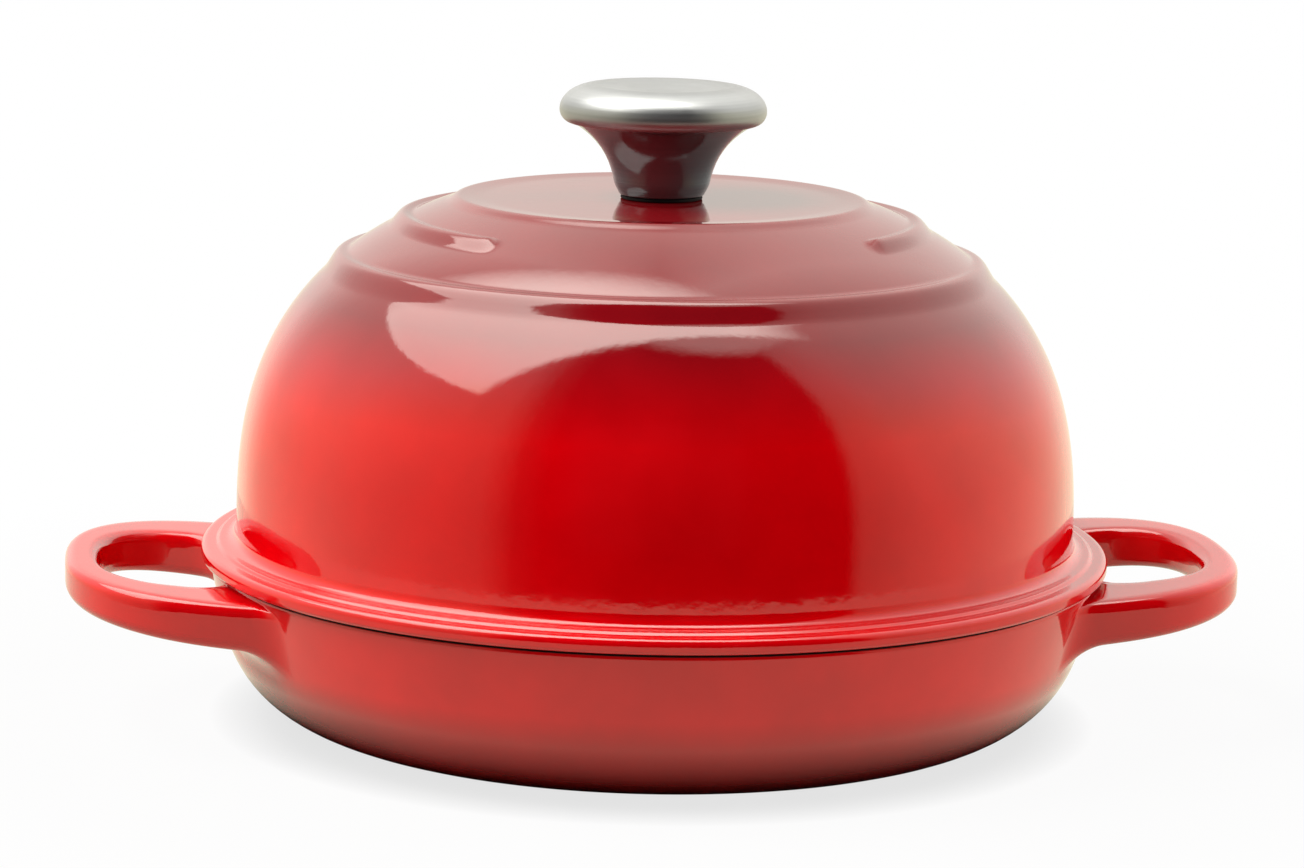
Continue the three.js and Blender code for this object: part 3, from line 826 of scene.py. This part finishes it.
def stem_line(knob, at):
    """Profile of the stem: hollow for its bush, tapered foot, quadratic flare, and head in the cap."""
    inset = knob.cap_sheet + knob.cap_fit
    neck = at.cap_lip - knob.cap_fit
    t = np.linspace(0, 1, FLARE_POINTS)[:, None]
    ankle = np.array([knob.stem_ankle_radius, at.stem_foot + knob.stem_ankle_height])
    pull = np.array([knob.stem_waist_radius, at.stem_foot + knob.stem_waist_height])
    end = np.array([neck, at.stem_top])
    curve = (1 - t) ** 2 * ankle + 2 * t * (1 - t) * pull + t**2 * end
    base = rounded(
        [
            (0, at.stem_foot + knob.socket_depth, 0),
            (knob.socket_radius, at.stem_foot + knob.socket_depth, knob.socket_edge),
            (knob.socket_radius, at.stem_foot, knob.socket_edge),
            (knob.stem_foot_radius, at.stem_foot, knob.stem_foot_edge),
            (*ankle, knob.stem_ankle_edge),
            (*curve[FLARE_START], 0),
        ]
    )
    head = cap_half(knob, at, inset)[::-1]
    return np.vstack([base, curve[FLARE_START + 1 :], [(neck, head[0, 1])], head[1:]])


def block_line(inner, outer, bottom, top, edge):
    """Closed rectangular profile with rounded corners, started in the middle of its inner side."""
    start = (inner, (bottom + top) / 2, 0)
    corners = [(inner, bottom, edge), (outer, bottom, edge), (outer, top, edge), (inner, top, edge)]
    return rounded([start, *corners, start])


def drive_slot(fixing, across, along):
    """One slot of the cross drive: from 0 at its edges to 1 inside, over a soft border."""
    beside = np.clip((fixing.drive_width / 2 - np.abs(across)) / fixing.drive_border, 0, 1)
    ahead = np.clip((fixing.drive_length / 2 - np.abs(along)) / fixing.drive_border, 0, 1)
    return beside * ahead


def screw_sheet(fixing, at):
    """Screw turned about Z, with a cross pressed into the head and a thread wound into the shank.

    The cross raises the head's face by the greater of its two slots. The thread takes a cosine of angle
    minus turns of height from the radius.
    """
    tip = at.head_top + fixing.screw_length
    edge = fixing.screw_edge
    line = rounded(
        [
            (0, at.head_bottom, 0),
            (fixing.head_radius, at.head_bottom, fixing.head_edge),
            (fixing.head_radius, at.head_top, edge),
            (fixing.screw_radius, at.head_top, edge),
            (fixing.screw_radius, tip - fixing.tip_chamfer, edge),
            (fixing.screw_radius - fixing.tip_chamfer, tip, edge),
            (0, tip, 0),
        ]
    )
    line = points_at(line, np.linspace(0, lengths(line)[-1], SCREW_ROWS))
    x, y, z = np.moveaxis(turned(line[1:-1], FIXING_COLUMNS), -1, 0)
    on_face = z < at.head_bottom + fixing.drive_depth / 2
    cross = np.maximum(drive_slot(fixing, x, y), drive_slot(fixing, y, x))
    sunk = np.where(on_face, fixing.drive_depth * cross, 0)
    r, a = np.hypot(x, y), np.arctan2(y, x)
    shank = (z > at.head_top + fixing.thread_pitch) & (z < tip - fixing.tip_chamfer)
    groove = 0.5 - 0.5 * np.cos(a - 2 * math.pi * z / fixing.thread_pitch)
    inward = 1 - np.where(shank, fixing.thread_depth * groove, 0) / np.maximum(r, MM)
    grid = np.stack([x * inward, y * inward, z + sunk], -1)
    return lattice(grid, poles=((0, 0, at.head_bottom + fixing.drive_depth), (0, 0, tip)))


def spring_washer_sheet(fixing, at):
    """Rounded square section carried round Z from one side of the split to the other."""
    bore = fixing.screw_radius + fixing.washer_clearance
    edge = fixing.spring_edge
    section = block_line(bore, fixing.spring_radius, at.spring_bottom, at.spring_top, edge)[:-1]
    around = np.linspace(fixing.spring_split, 2 * math.pi, FIXING_COLUMNS)
    grid = np.swapaxes(swept(section, around), 0, 1)
    return lattice(grid, poles=(grid[0].mean(0), grid[-1].mean(0)))


def node(tree, kind, inputs=None, stops=(), **settings):
    """Adds a node with its settings, colour stops, and inputs that are either linked or set."""
    made = tree.nodes.new(kind)
    for key, value in settings.items():
        setattr(made, key, value)
    for key, value in (inputs or {}).items():
        if isinstance(value, bpy.types.NodeSocket):
            tree.links.new(value, made.inputs[key])
        else:
            made.inputs[key].default_value = value
    if stops:
        elements = made.color_ramp.elements
        elements[0].position, elements[0].color = stops[0]
        elements[-1].position, elements[-1].color = stops[-1]
        for position, value in stops[1:-1]:
            elements.new(position).color = value
    return made


def blank_material(name):
    material = bpy.data.materials.new(name)
    material.use_nodes = True
    material.node_tree.nodes.clear()
    return material, material.node_tree


def finished(tree, tint, tone, gloss, relief, shading, gloss_span=NOISE_SPAN):
    """Ends a material whose tone, gloss and relief follow patterns.

    The tint is scaled between the tone's two shares, and the roughness runs between the gloss's two
    values, as their patterns go from low to high. The relief's pattern lifts the surface by its height,
    and shading sets the shader's other inputs.
    """
    followed = []
    for (pattern, low, high), (start, end) in ((tone, NOISE_SPAN), (gloss, gloss_span)):
        limits = {"From Min": start, "From Max": end, "To Min": low, "To Max": high}
        followed.append(node(tree, "ShaderNodeMapRange", {"Value": pattern, **limits}).outputs[0])
    share, roughness = followed
    shade = node(tree, "ShaderNodeVectorMath", {0: tint, "Scale": share}, operation="SCALE").outputs[0]
    pattern, height = relief
    bump = node(tree, "ShaderNodeBump", {"Strength": 1.0, "Distance": height, "Height": pattern}).outputs[0]
    inputs = {"Base Color": shade, "Roughness": roughness, "Normal": bump, **shading}
    shader = node(tree, "ShaderNodeBsdfPrincipled", inputs)
    node(tree, "ShaderNodeOutputMaterial", {"Surface": shader.outputs[0]})


def cherry_enamel(finish):
    """Vitreous enamel, sprayed and fired: a glassy red with a faint orange peel, darker at top and foot,
    partly from the graded spray and partly as painted shade.
    """
    material, tree = blank_material("cherry_enamel")
    place = node(tree, "ShaderNodeTexCoord").outputs["Object"]
    height = node(tree, "ShaderNodeSeparateXYZ", {0: place}).outputs["Z"]
    # shades by height, in shares of 150 mm: the spray's graded red, with painted shade in the darker foot
    # and top
    sprayed = 150 * MM
    shades = [
        (0.0, finish.foot_enamel_and_shade),
        (0.17, finish.enamel_wall),
        (0.34, finish.enamel),
        (0.63, finish.enamel),
        (0.79, finish.top_enamel_and_shade),
    ]
    level = node(tree, "ShaderNodeMapRange", {"Value": height, "From Min": 0.0, "From Max": sprayed})
    shaded = node(tree, "ShaderNodeValToRGB", {0: level.outputs[0]}, stops=shades).outputs[0]
    # spray clouds about 25 mm across
    clouds = node(tree, "ShaderNodeTexNoise", {"Vector": place, "Scale": 1 / (25 * MM), "Detail": 3.0})
    # orange peel with waves of 3 mm, some 18 microns high
    peel = node(tree, "ShaderNodeTexNoise", {"Vector": place, "Scale": 1 / (3 * MM), "Detail": 2.0})
    tone = (clouds.outputs[0], 0.9, 1.06)
    gloss = (clouds.outputs[0], 0.035, 0.075)
    finished(tree, shaded, tone, gloss, (peel.outputs[0], 0.018 * MM), {"IOR": 1.55})
    return material


def black_enamel(finish):
    """Matt black enamel, fired on in a coarse coat: charcoal with a fine grit and a low sheen."""
    material, tree = blank_material("black_satin_enamel")
    place = node(tree, "ShaderNodeTexCoord").outputs["Object"]
    # grit of 0.7 mm, some 25 microns high
    grit = node(tree, "ShaderNodeTexNoise", {"Vector": place, "Scale": 1 / (0.7 * MM), "Detail": 3.0})
    # patches of thicker coat about 18 mm across
    patches = node(tree, "ShaderNodeTexNoise", {"Vector": place, "Scale": 1 / (18 * MM), "Detail": 2.0})
    tint = tuple(finish.black_enamel)[:3]
    tone = (patches.outputs[0], 0.8, 1.25)
    gloss = (grit.outputs[0], 0.34, 0.5)
    finished(tree, tint, tone, gloss, (grit.outputs[0], 0.025 * MM), {"IOR": 1.52})
    return material


def turned_steel(name, tint, roughness, line_width, haze=0.0):
    """Stainless steel turned on a lathe: a metal gloss broken by fine lines round the axis, with a haze."""
    material, tree = blank_material(name)
    place = node(tree, "ShaderNodeTexCoord").outputs["Object"]
    axes = node(tree, "ShaderNodeSeparateXYZ", {0: place}).outputs
    flat = node(tree, "ShaderNodeCombineXYZ", {"X": axes["X"], "Y": axes["Y"]})
    radius = node(tree, "ShaderNodeVectorMath", {0: flat.outputs[0]}, operation="LENGTH").outputs["Value"]
    section = node(tree, "ShaderNodeCombineXYZ", {"X": radius, "Y": axes["Z"]}).outputs[0]
    turning = {"Vector": section, "Scale": 1 / line_width, "Detail": 2.0}
    lines = node(tree, "ShaderNodeTexNoise", turning).outputs[0]
    # smears of the hand about 9 mm across
    smears = node(tree, "ShaderNodeTexNoise", {"Vector": place, "Scale": 1 / (9 * MM), "Detail": 2.0})
    both = node(tree, "ShaderNodeMath", {0: lines, 1: smears.outputs[0]}, operation="ADD").outputs[0]
    finished(
        tree,
        tuple(tint)[:3],
        tone=(lines, 0.86, 1.08),
        gloss=(both, roughness * 0.8, roughness * 1.2),
        relief=(lines, 0.01 * MM),
        shading={"Metallic": 1.0 - haze},
        gloss_span=SUM_SPAN,
    )
    return material


def silicone_rubber(finish):
    """Moulded silicone rubber: an even, dull black with the mould's faint grain."""
    material, tree = blank_material("silicone_rubber")
    place = node(tree, "ShaderNodeTexCoord").outputs["Object"]
    # grain of 0.4 mm, some 10 microns high
    skin = node(tree, "ShaderNodeTexNoise", {"Vector": place, "Scale": 1 / (0.4 * MM), "Detail": 2.0})
    tint = tuple(finish.gasket_black_and_shade)[:3]
    tone = (skin.outputs[0], 0.92, 1.08)
    gloss = (skin.outputs[0], 0.68, 0.92)
    finished(tree, tint, tone, gloss, (skin.outputs[0], 0.01 * MM), {"IOR": 1.41})
    return material


def studio_paper(finish, reach):
    """Matt white paper: nearly pure white to the camera and in the gloss, and shaded close to the pan."""
    material, tree = blank_material("studio_paper")
    matt = node(tree, "ShaderNodeBsdfDiffuse", {"Color": tuple(finish.paper)})
    sight = node(tree, "ShaderNodeLightPath").outputs
    camera, glossy = sight["Is Camera Ray"], sight["Is Glossy Ray"]
    # the shade reaches 16 mm out from the pan, and the camera sees a fifth of it
    shut_in = node(tree, "ShaderNodeAmbientOcclusion", {"Distance": 16 * MM}, samples=8).outputs["AO"]
    least = node(tree, "ShaderNodeMath", {0: camera, 1: 0.8}, operation="MULTIPLY")
    shade = {"Value": shut_in, "From Min": 0.25, "To Min": least.outputs[0]}
    strength = node(tree, "ShaderNodeMapRange", shade).outputs[0]
    # white to the camera, and a little warm in the gloss
    casts = [(0.0, linear("#fffde2")), (1.0, linear("#ffffff"))]
    cast = node(tree, "ShaderNodeValToRGB", {0: camera}, stops=casts).outputs[0]
    white = node(tree, "ShaderNodeEmission", {"Color": cast, "Strength": strength})
    seen = node(tree, "ShaderNodeMath", {0: camera, 1: glossy}, operation="MAXIMUM").outputs[0]
    # the paper runs out into the white behind it
    place = node(tree, "ShaderNodeTexCoord").outputs["Object"]
    out = node(tree, "ShaderNodeVectorMath", {0: place}, operation="LENGTH").outputs["Value"]
    run_out = {"Value": out, "From Min": reach * 0.5, "From Max": reach * 0.95, "To Min": 0.95}
    fade = node(tree, "ShaderNodeMapRange", run_out).outputs[0]
    share = node(tree, "ShaderNodeMath", {0: seen, 1: fade}, operation="MULTIPLY").outputs[0]
    mixed = node(tree, "ShaderNodeMixShader", {0: share, 1: matt.outputs[0], 2: white.outputs[0]})
    node(tree, "ShaderNodeOutputMaterial", {"Surface": mixed.outputs[0]})
    return material


class BREADOVEN_OT_pan(bpy.types.Operator):
    """Cast the pan with its two loop handles"""

    bl_idname = "bread_oven.pan"
    bl_label = "Pan"

    def execute(self, context):
        settings = context.scene.bread_oven
        pan, handle = settings.pan, settings.handle
        profile = pan_line(pan)
        outside = profile[1 : np.argmax(profile[:, 1])]
        line = spread(profile)
        rim = np.argmax(line[:, 1] > pan.height - pan.black_rim)
        black = (np.arange(len(line) - 1) >= rim).astype(int)
        sheets = [solid_of_revolution(line, CASTING_COLUMNS, black)]
        sheets += [handle_sheet(pan, handle, outside, side) for side in (1, -1)]
        coats = [cherry_enamel(settings.finish), black_enamel(settings.finish)]
        piece("pan_casting", sheets, coats, "pan", ["base_pan"])
        return {"FINISHED"}


class BREADOVEN_OT_lid(bpy.types.Operator):
    """Cast the domed lid with its flange and raised rings"""

    bl_idname = "bread_oven.lid"
    bl_label = "Lid"

    def execute(self, context):
        settings = context.scene.bread_oven
        lid, at = settings.lid, stations(settings)
        line = spread(lid_line(lid, at))
        on_seat = line[:, 1] < at.seat + lid.seat_gap / 3
        under = np.argmax(on_seat & (line[:, 0] < at.flange_radius - lid.red_underside))
        black = (np.arange(len(line) - 1) >= under).astype(int)
        grid = open_ring(turned(line[:-1], CASTING_COLUMNS), lid, at)
        sheet = lattice(grid, closed_rows=True, slot_rows=black)
        coats = [bpy.data.materials["cherry_enamel"], bpy.data.materials["black_satin_enamel"]]
        piece("lid_casting", [sheet], coats, "lid", ["dome_lid"])
        return {"FINISHED"}


class BREADOVEN_OT_knob(bpy.types.Operator):
    """Build the knob: steel cap, steel stem and gasket"""

    bl_idname = "bread_oven.knob"
    bl_label = "Knob"

    def execute(self, context):
        settings = context.scene.bread_oven
        knob, finish, at = settings.knob, settings.finish, stations(settings)
        # brush lines of about 0.12 mm, drawn six times as coarse so that they show
        satin = {"roughness": 0.38, "line_width": 0.75 * MM, "haze": 0.15}
        steel = turned_steel("satin_stainless", finish.stainless, **satin)
        cap = solid_of_revolution(spread(cap_line(knob, at)), KNOB_COLUMNS)
        piece("knob_cap_shell", [cap], [steel], "knob", ["knob_cap"])
        # polishing lines of about 0.1 mm, drawn five times as coarse so that they show
        bright = {"roughness": 0.13, "line_width": 0.5 * MM, "haze": 0.12}
        polished = turned_steel("polished_stainless", finish.stem, **bright)
        stem = solid_of_revolution(spread(stem_line(knob, at)), KNOB_COLUMNS)
        piece("knob_stem_turning", [stem], [polished], "knob", ["knob_stem"])
        # the gasket's deep black is partly painted shade: the shadow line under the stem's foot
        rubber = silicone_rubber(finish)
        edge = knob.seat_ring_thickness / 3
        line = block_line(at.screw_hole, knob.seat_ring_radius, at.ring_bottom, at.ring_top, edge)
        ring = ring_of_revolution(spread(line), KNOB_COLUMNS)
        piece("knob_gasket", [ring], [rubber], "lid", ["knob_seat_ring"])
        return {"FINISHED"}


class BREADOVEN_OT_fixings(bpy.types.Operator):
    """Build the screw and washers inside the lid, and finish the bush in the stem"""

    bl_idname = "bread_oven.fixings"
    bl_label = "Fixings"

    def execute(self, context):
        settings = context.scene.bread_oven
        fixing, at = settings.fixing, stations(settings)
        # turning marks of 0.1 mm, drawn three times as coarse so that they show
        plain = {"roughness": 0.32, "line_width": 0.3 * MM}
        steel = turned_steel("fastener_steel", settings.finish.fixings, **plain)
        bore = fixing.screw_radius + fixing.washer_clearance
        edge = fixing.washer_edge
        line = block_line(bore, fixing.washer_radius, at.washer_bottom, at.washer_top, edge)
        washer = ring_of_revolution(spread(line), FIXING_COLUMNS)
        piece("washer", [washer], [steel], "lid", ["flat_washer"])
        spring = spring_washer_sheet(fixing, at)
        piece("split_washer", [spring], [steel], "lid", ["spring_washer"])
        screw = screw_sheet(fixing, at)
        piece("screw", [screw], [steel], "lid", ["knob_screw"])
        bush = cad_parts["knob_bush"]
        bush.data.materials.clear()
        bush.data.materials.append(steel)
        return {"FINISHED"}


def view_axes(studio):
    """Turns directions as the camera sees them, from its side of the oven, into the frame's axes."""
    return Matrix.Rotation(-studio.turn, 3, "Z")


def lamp(studio, name, power, around, up):
    """A softbox that lights the colours, and that neither the camera nor the gloss sees.

    It faces the oven's middle, by its angles round from the camera's side and up from level.
    """
    light = bpy.data.lights.new(name, "AREA")
    light.shape = "RECTANGLE"
    light.size, light.size_y = studio.lamp_width, studio.lamp_height
    light.energy = power
    toward = Vector((math.cos(up) * math.sin(around), -math.cos(up) * math.cos(around), math.sin(up)))
    right = Vector((0, 0, 1)).cross(toward).normalized()
    axes = view_axes(studio) @ Matrix((right, toward.cross(right), toward)).transposed()
    place = axes.to_4x4()
    middle = Vector((0, 0, studio.lamp_aim))
    place.translation = middle + view_axes(studio) @ toward * studio.lamp_distance
    made = bpy.data.objects.new(name, light)
    made.matrix_world = place
    made.visible_camera = False
    made.visible_glossy = False
    bpy.context.scene.collection.objects.link(made)


def studio_floor(settings):
    """A round sheet of paper just under the pan."""
    around = 2 * math.pi * np.arange(FLOOR_POINTS) / FLOOR_POINTS
    x, y = settings.studio.floor_radius * np.stack([np.cos(around), np.sin(around)])
    spots = np.stack([x, y, np.full(FLOOR_POINTS, -FLOOR_DROP)], 1)
    mesh = bpy.data.meshes.new("studio_floor")
    mesh.from_pydata(spots.tolist(), [], [list(range(FLOOR_POINTS))])
    mesh.materials.append(studio_paper(settings.finish, settings.studio.floor_radius))
    floor = bpy.data.objects.new("studio_floor", mesh)
    bpy.context.scene.collection.objects.link(floor)


def wall_level(tree, studio, axes):
    """Brightness of the room: the walls' by heading and height, or the ceiling light's where it is more."""
    front = node(tree, "ShaderNodeMath", {0: axes["Y"], 1: -1.0}, operation="MULTIPLY").outputs[0]
    around = node(tree, "ShaderNodeMath", {0: axes["X"], 1: front}, operation="ARCTAN2").outputs[0]
    circle = {"Value": around, "From Min": -math.pi, "From Max": math.pi}
    share = node(tree, "ShaderNodeMapRange", circle).outputs[0]
    stops = [((degrees + 180) / 360, (level, level, level, 1)) for degrees, level in WALL_LEVELS]
    wall = node(tree, "ShaderNodeValToRGB", {0: share}, stops=stops).outputs[0]
    lift = node(tree, "ShaderNodeMapRange", {"Value": axes["Z"], "To Min": 1.0, "To Max": studio.overhead})
    upright = node(tree, "ShaderNodeMath", {0: wall, 1: lift.outputs[0]}, operation="MULTIPLY").outputs[0]
    slope = {0: axes["X"], 1: studio.ceiling_lean, 2: axes["Z"]}
    lean = node(tree, "ShaderNodeMath", slope, operation="MULTIPLY_ADD").outputs[0]
    start, end = CEILING_EDGE
    limits = {"Value": lean, "From Min": start, "From Max": end, "To Max": studio.ceiling}
    ceiling = node(tree, "ShaderNodeMapRange", limits, interpolation_type="SMOOTHSTEP").outputs[0]
    return node(tree, "ShaderNodeMath", {0: upright, 1: ceiling}, operation="MAXIMUM").outputs[0]


def softbox_level(tree, studio, heading, axes):
    """Brightness of the softbox above left: more towards its top, cut by three planes through the oven."""
    low, high = SOFTBOX_HEIGHT
    dim, full = studio.key_gloss * SOFTBOX_FOOT, studio.key_gloss
    glow = {"Value": axes["Z"], "From Min": low, "From Max": high, "To Min": dim, "To Max": full}
    softbox = node(tree, "ShaderNodeMapRange", glow).outputs[0]
    for side, start, end in SOFTBOX_CUTS:
        room = node(tree, "ShaderNodeVectorMath", {0: heading, 1: side}, operation="DOT_PRODUCT")
        limits = {"Value": room.outputs["Value"], "From Min": start, "From Max": end}
        cut = node(tree, "ShaderNodeMapRange", limits, interpolation_type="SMOOTHSTEP").outputs[0]
        softbox = node(tree, "ShaderNodeMath", {0: softbox, 1: cut}, operation="MULTIPLY").outputs[0]
    return softbox


def studio_room(studio):
    """White walls round the sides and back, with the dark opening where the camera stands, and a softbox.

    The camera sees plain white, the colours are lit by dimmed walls, and the gloss shows the whole room.
    """
    world = bpy.data.worlds.new("studio_room")
    bpy.context.scene.world = world
    world.use_nodes = True
    tree = world.node_tree
    tree.nodes.clear()
    heading = node(tree, "ShaderNodeTexCoord").outputs["Generated"]
    turned_by = {"Vector": heading, "Angle": studio.turn}
    heading = node(tree, "ShaderNodeVectorRotate", turned_by, rotation_type="Z_AXIS").outputs[0]
    axes = node(tree, "ShaderNodeSeparateXYZ", {0: heading}).outputs
    sight = node(tree, "ShaderNodeLightPath").outputs
    camera, glossy = sight["Is Camera Ray"], sight["Is Glossy Ray"]
    dimming = {"Value": glossy, "To Min": studio.room_light, "To Max": studio.room_gloss}
    bounce = node(tree, "ShaderNodeMapRange", dimming).outputs[0]
    white_walls = wall_level(tree, studio, axes)
    walls = node(tree, "ShaderNodeMath", {0: white_walls, 1: bounce}, operation="MULTIPLY").outputs[0]
    key = softbox_level(tree, studio, heading, axes)
    softbox = node(tree, "ShaderNodeMath", {0: key, 1: glossy}, operation="MULTIPLY").outputs[0]
    level = node(tree, "ShaderNodeMath", {0: walls, 1: softbox}, operation="MAXIMUM").outputs[0]
    # the side walls are warm low down, and neutral higher up and at the back
    slope = {0: axes["Y"], 1: 0.5, 2: axes["Z"]}
    aloft = node(tree, "ShaderNodeMath", slope, operation="MULTIPLY_ADD").outputs[0]
    tints = [(0.3, linear("#fffadb")), (0.55, linear("#fffcf3"))]
    tint = node(tree, "ShaderNodeValToRGB", {0: aloft}, stops=tints).outputs[0]
    room = node(tree, "ShaderNodeBackground", {"Color": tint, "Strength": level}).outputs[0]
    white = node(tree, "ShaderNodeBackground", {"Color": (1, 1, 1, 1), "Strength": 1.0}).outputs[0]
    shown = node(tree, "ShaderNodeMixShader", {0: camera, 1: room, 2: white})
    node(tree, "ShaderNodeOutputWorld", {"Surface": shown.outputs[0]})


def studio_camera(studio):
    """Camera at the photograph's place: tilted, swung and rolled on its own axes, turned with the view."""
    tilt, swing, roll = studio.tilt, studio.swing, studio.roll
    level = math.cos(tilt)
    ahead = Vector((math.sin(swing) * level, math.cos(swing) * level, -math.sin(tilt)))
    right = ahead.cross(Vector((0, 0, 1))).normalized()
    up = right.cross(ahead)
    rolled_right = math.cos(roll) * right + math.sin(roll) * up
    rolled_up = -math.sin(roll) * right + math.cos(roll) * up
    axes = view_axes(studio) @ Matrix((rolled_right, rolled_up, -ahead)).transposed()
    lens = bpy.data.cameras.new("studio_camera")
    lens.sensor_fit = "HORIZONTAL"
    lens.sensor_width = SENSOR
    lens.lens = SENSOR * studio.focal_pixels / IMAGE_WIDTH
    lens.clip_start, lens.clip_end = CLIP
    made = bpy.data.objects.new("studio_camera", lens)
    place = axes.to_4x4()
    place.translation = view_axes(studio) @ Vector((0, -studio.distance, studio.eye_height))
    made.matrix_world = place
    bpy.context.scene.collection.objects.link(made)
    bpy.context.scene.camera = made


class BREADOVEN_OT_studio(bpy.types.Operator):
    """Set up the floor, softboxes, white room and camera"""

    bl_idname = "bread_oven.studio"
    bl_label = "Studio"

    def execute(self, context):
        settings = context.scene.bread_oven
        studio = settings.studio
        studio_floor(settings)
        for name, power, around, up in (
            ("left_light", studio.left_light, -82, 50),
            ("right_light", studio.right_light, 95, 20),
            ("front_light", studio.front_light, 0, 15),
        ):
            lamp(studio, name, power, math.radians(around), math.radians(up))
        studio_room(studio)
        studio_camera(studio)
        context.scene.view_settings.view_transform = "Standard"
        return {"FINISHED"}


class BREADOVEN_PT_panel(bpy.types.Panel):
    """Steps of the build, and the sizes, colours and lights that they take"""

    bl_label = "Bread Oven"
    bl_idname = "BREADOVEN_PT_panel"
    bl_space_type = "VIEW_3D"
    bl_region_type = "UI"
    bl_category = "Bread Oven"

    def draw(self, context):
        column = self.layout.column()
        for step in STEPS:
            column.operator(step.bl_idname)
        settings = context.scene.bread_oven
        for group_name in BreadOvenSettings.__annotations__:
            group = getattr(settings, group_name)
            box = self.layout.box()
            for name in group.__annotations__:
                box.prop(group, name)


STEPS = (
    BREADOVEN_OT_pan,
    BREADOVEN_OT_lid,
    BREADOVEN_OT_knob,
    BREADOVEN_OT_fixings,
    BREADOVEN_OT_studio,
)
CLASSES = (
    PanSizes,
    HandleSizes,
    LidSizes,
    KnobSizes,
    FixingSizes,
    FinishColours,
    StudioSettings,
    BreadOvenSettings,
    *STEPS,
    BREADOVEN_PT_panel,
)


def register():
    for cls in CLASSES:
        bpy.utils.register_class(cls)
    bpy.types.Scene.bread_oven = PointerProperty(type=BreadOvenSettings)


def unregister():
    del bpy.types.Scene.bread_oven
    for cls in reversed(CLASSES):
        bpy.utils.unregister_class(cls)


def main():
    register()
    bpy.ops.bread_oven.pan()
    bpy.ops.bread_oven.lid()
    bpy.ops.bread_oven.knob()
    bpy.ops.bread_oven.fixings()
    bpy.ops.bread_oven.studio()


if __name__ == "__main__":
    main()
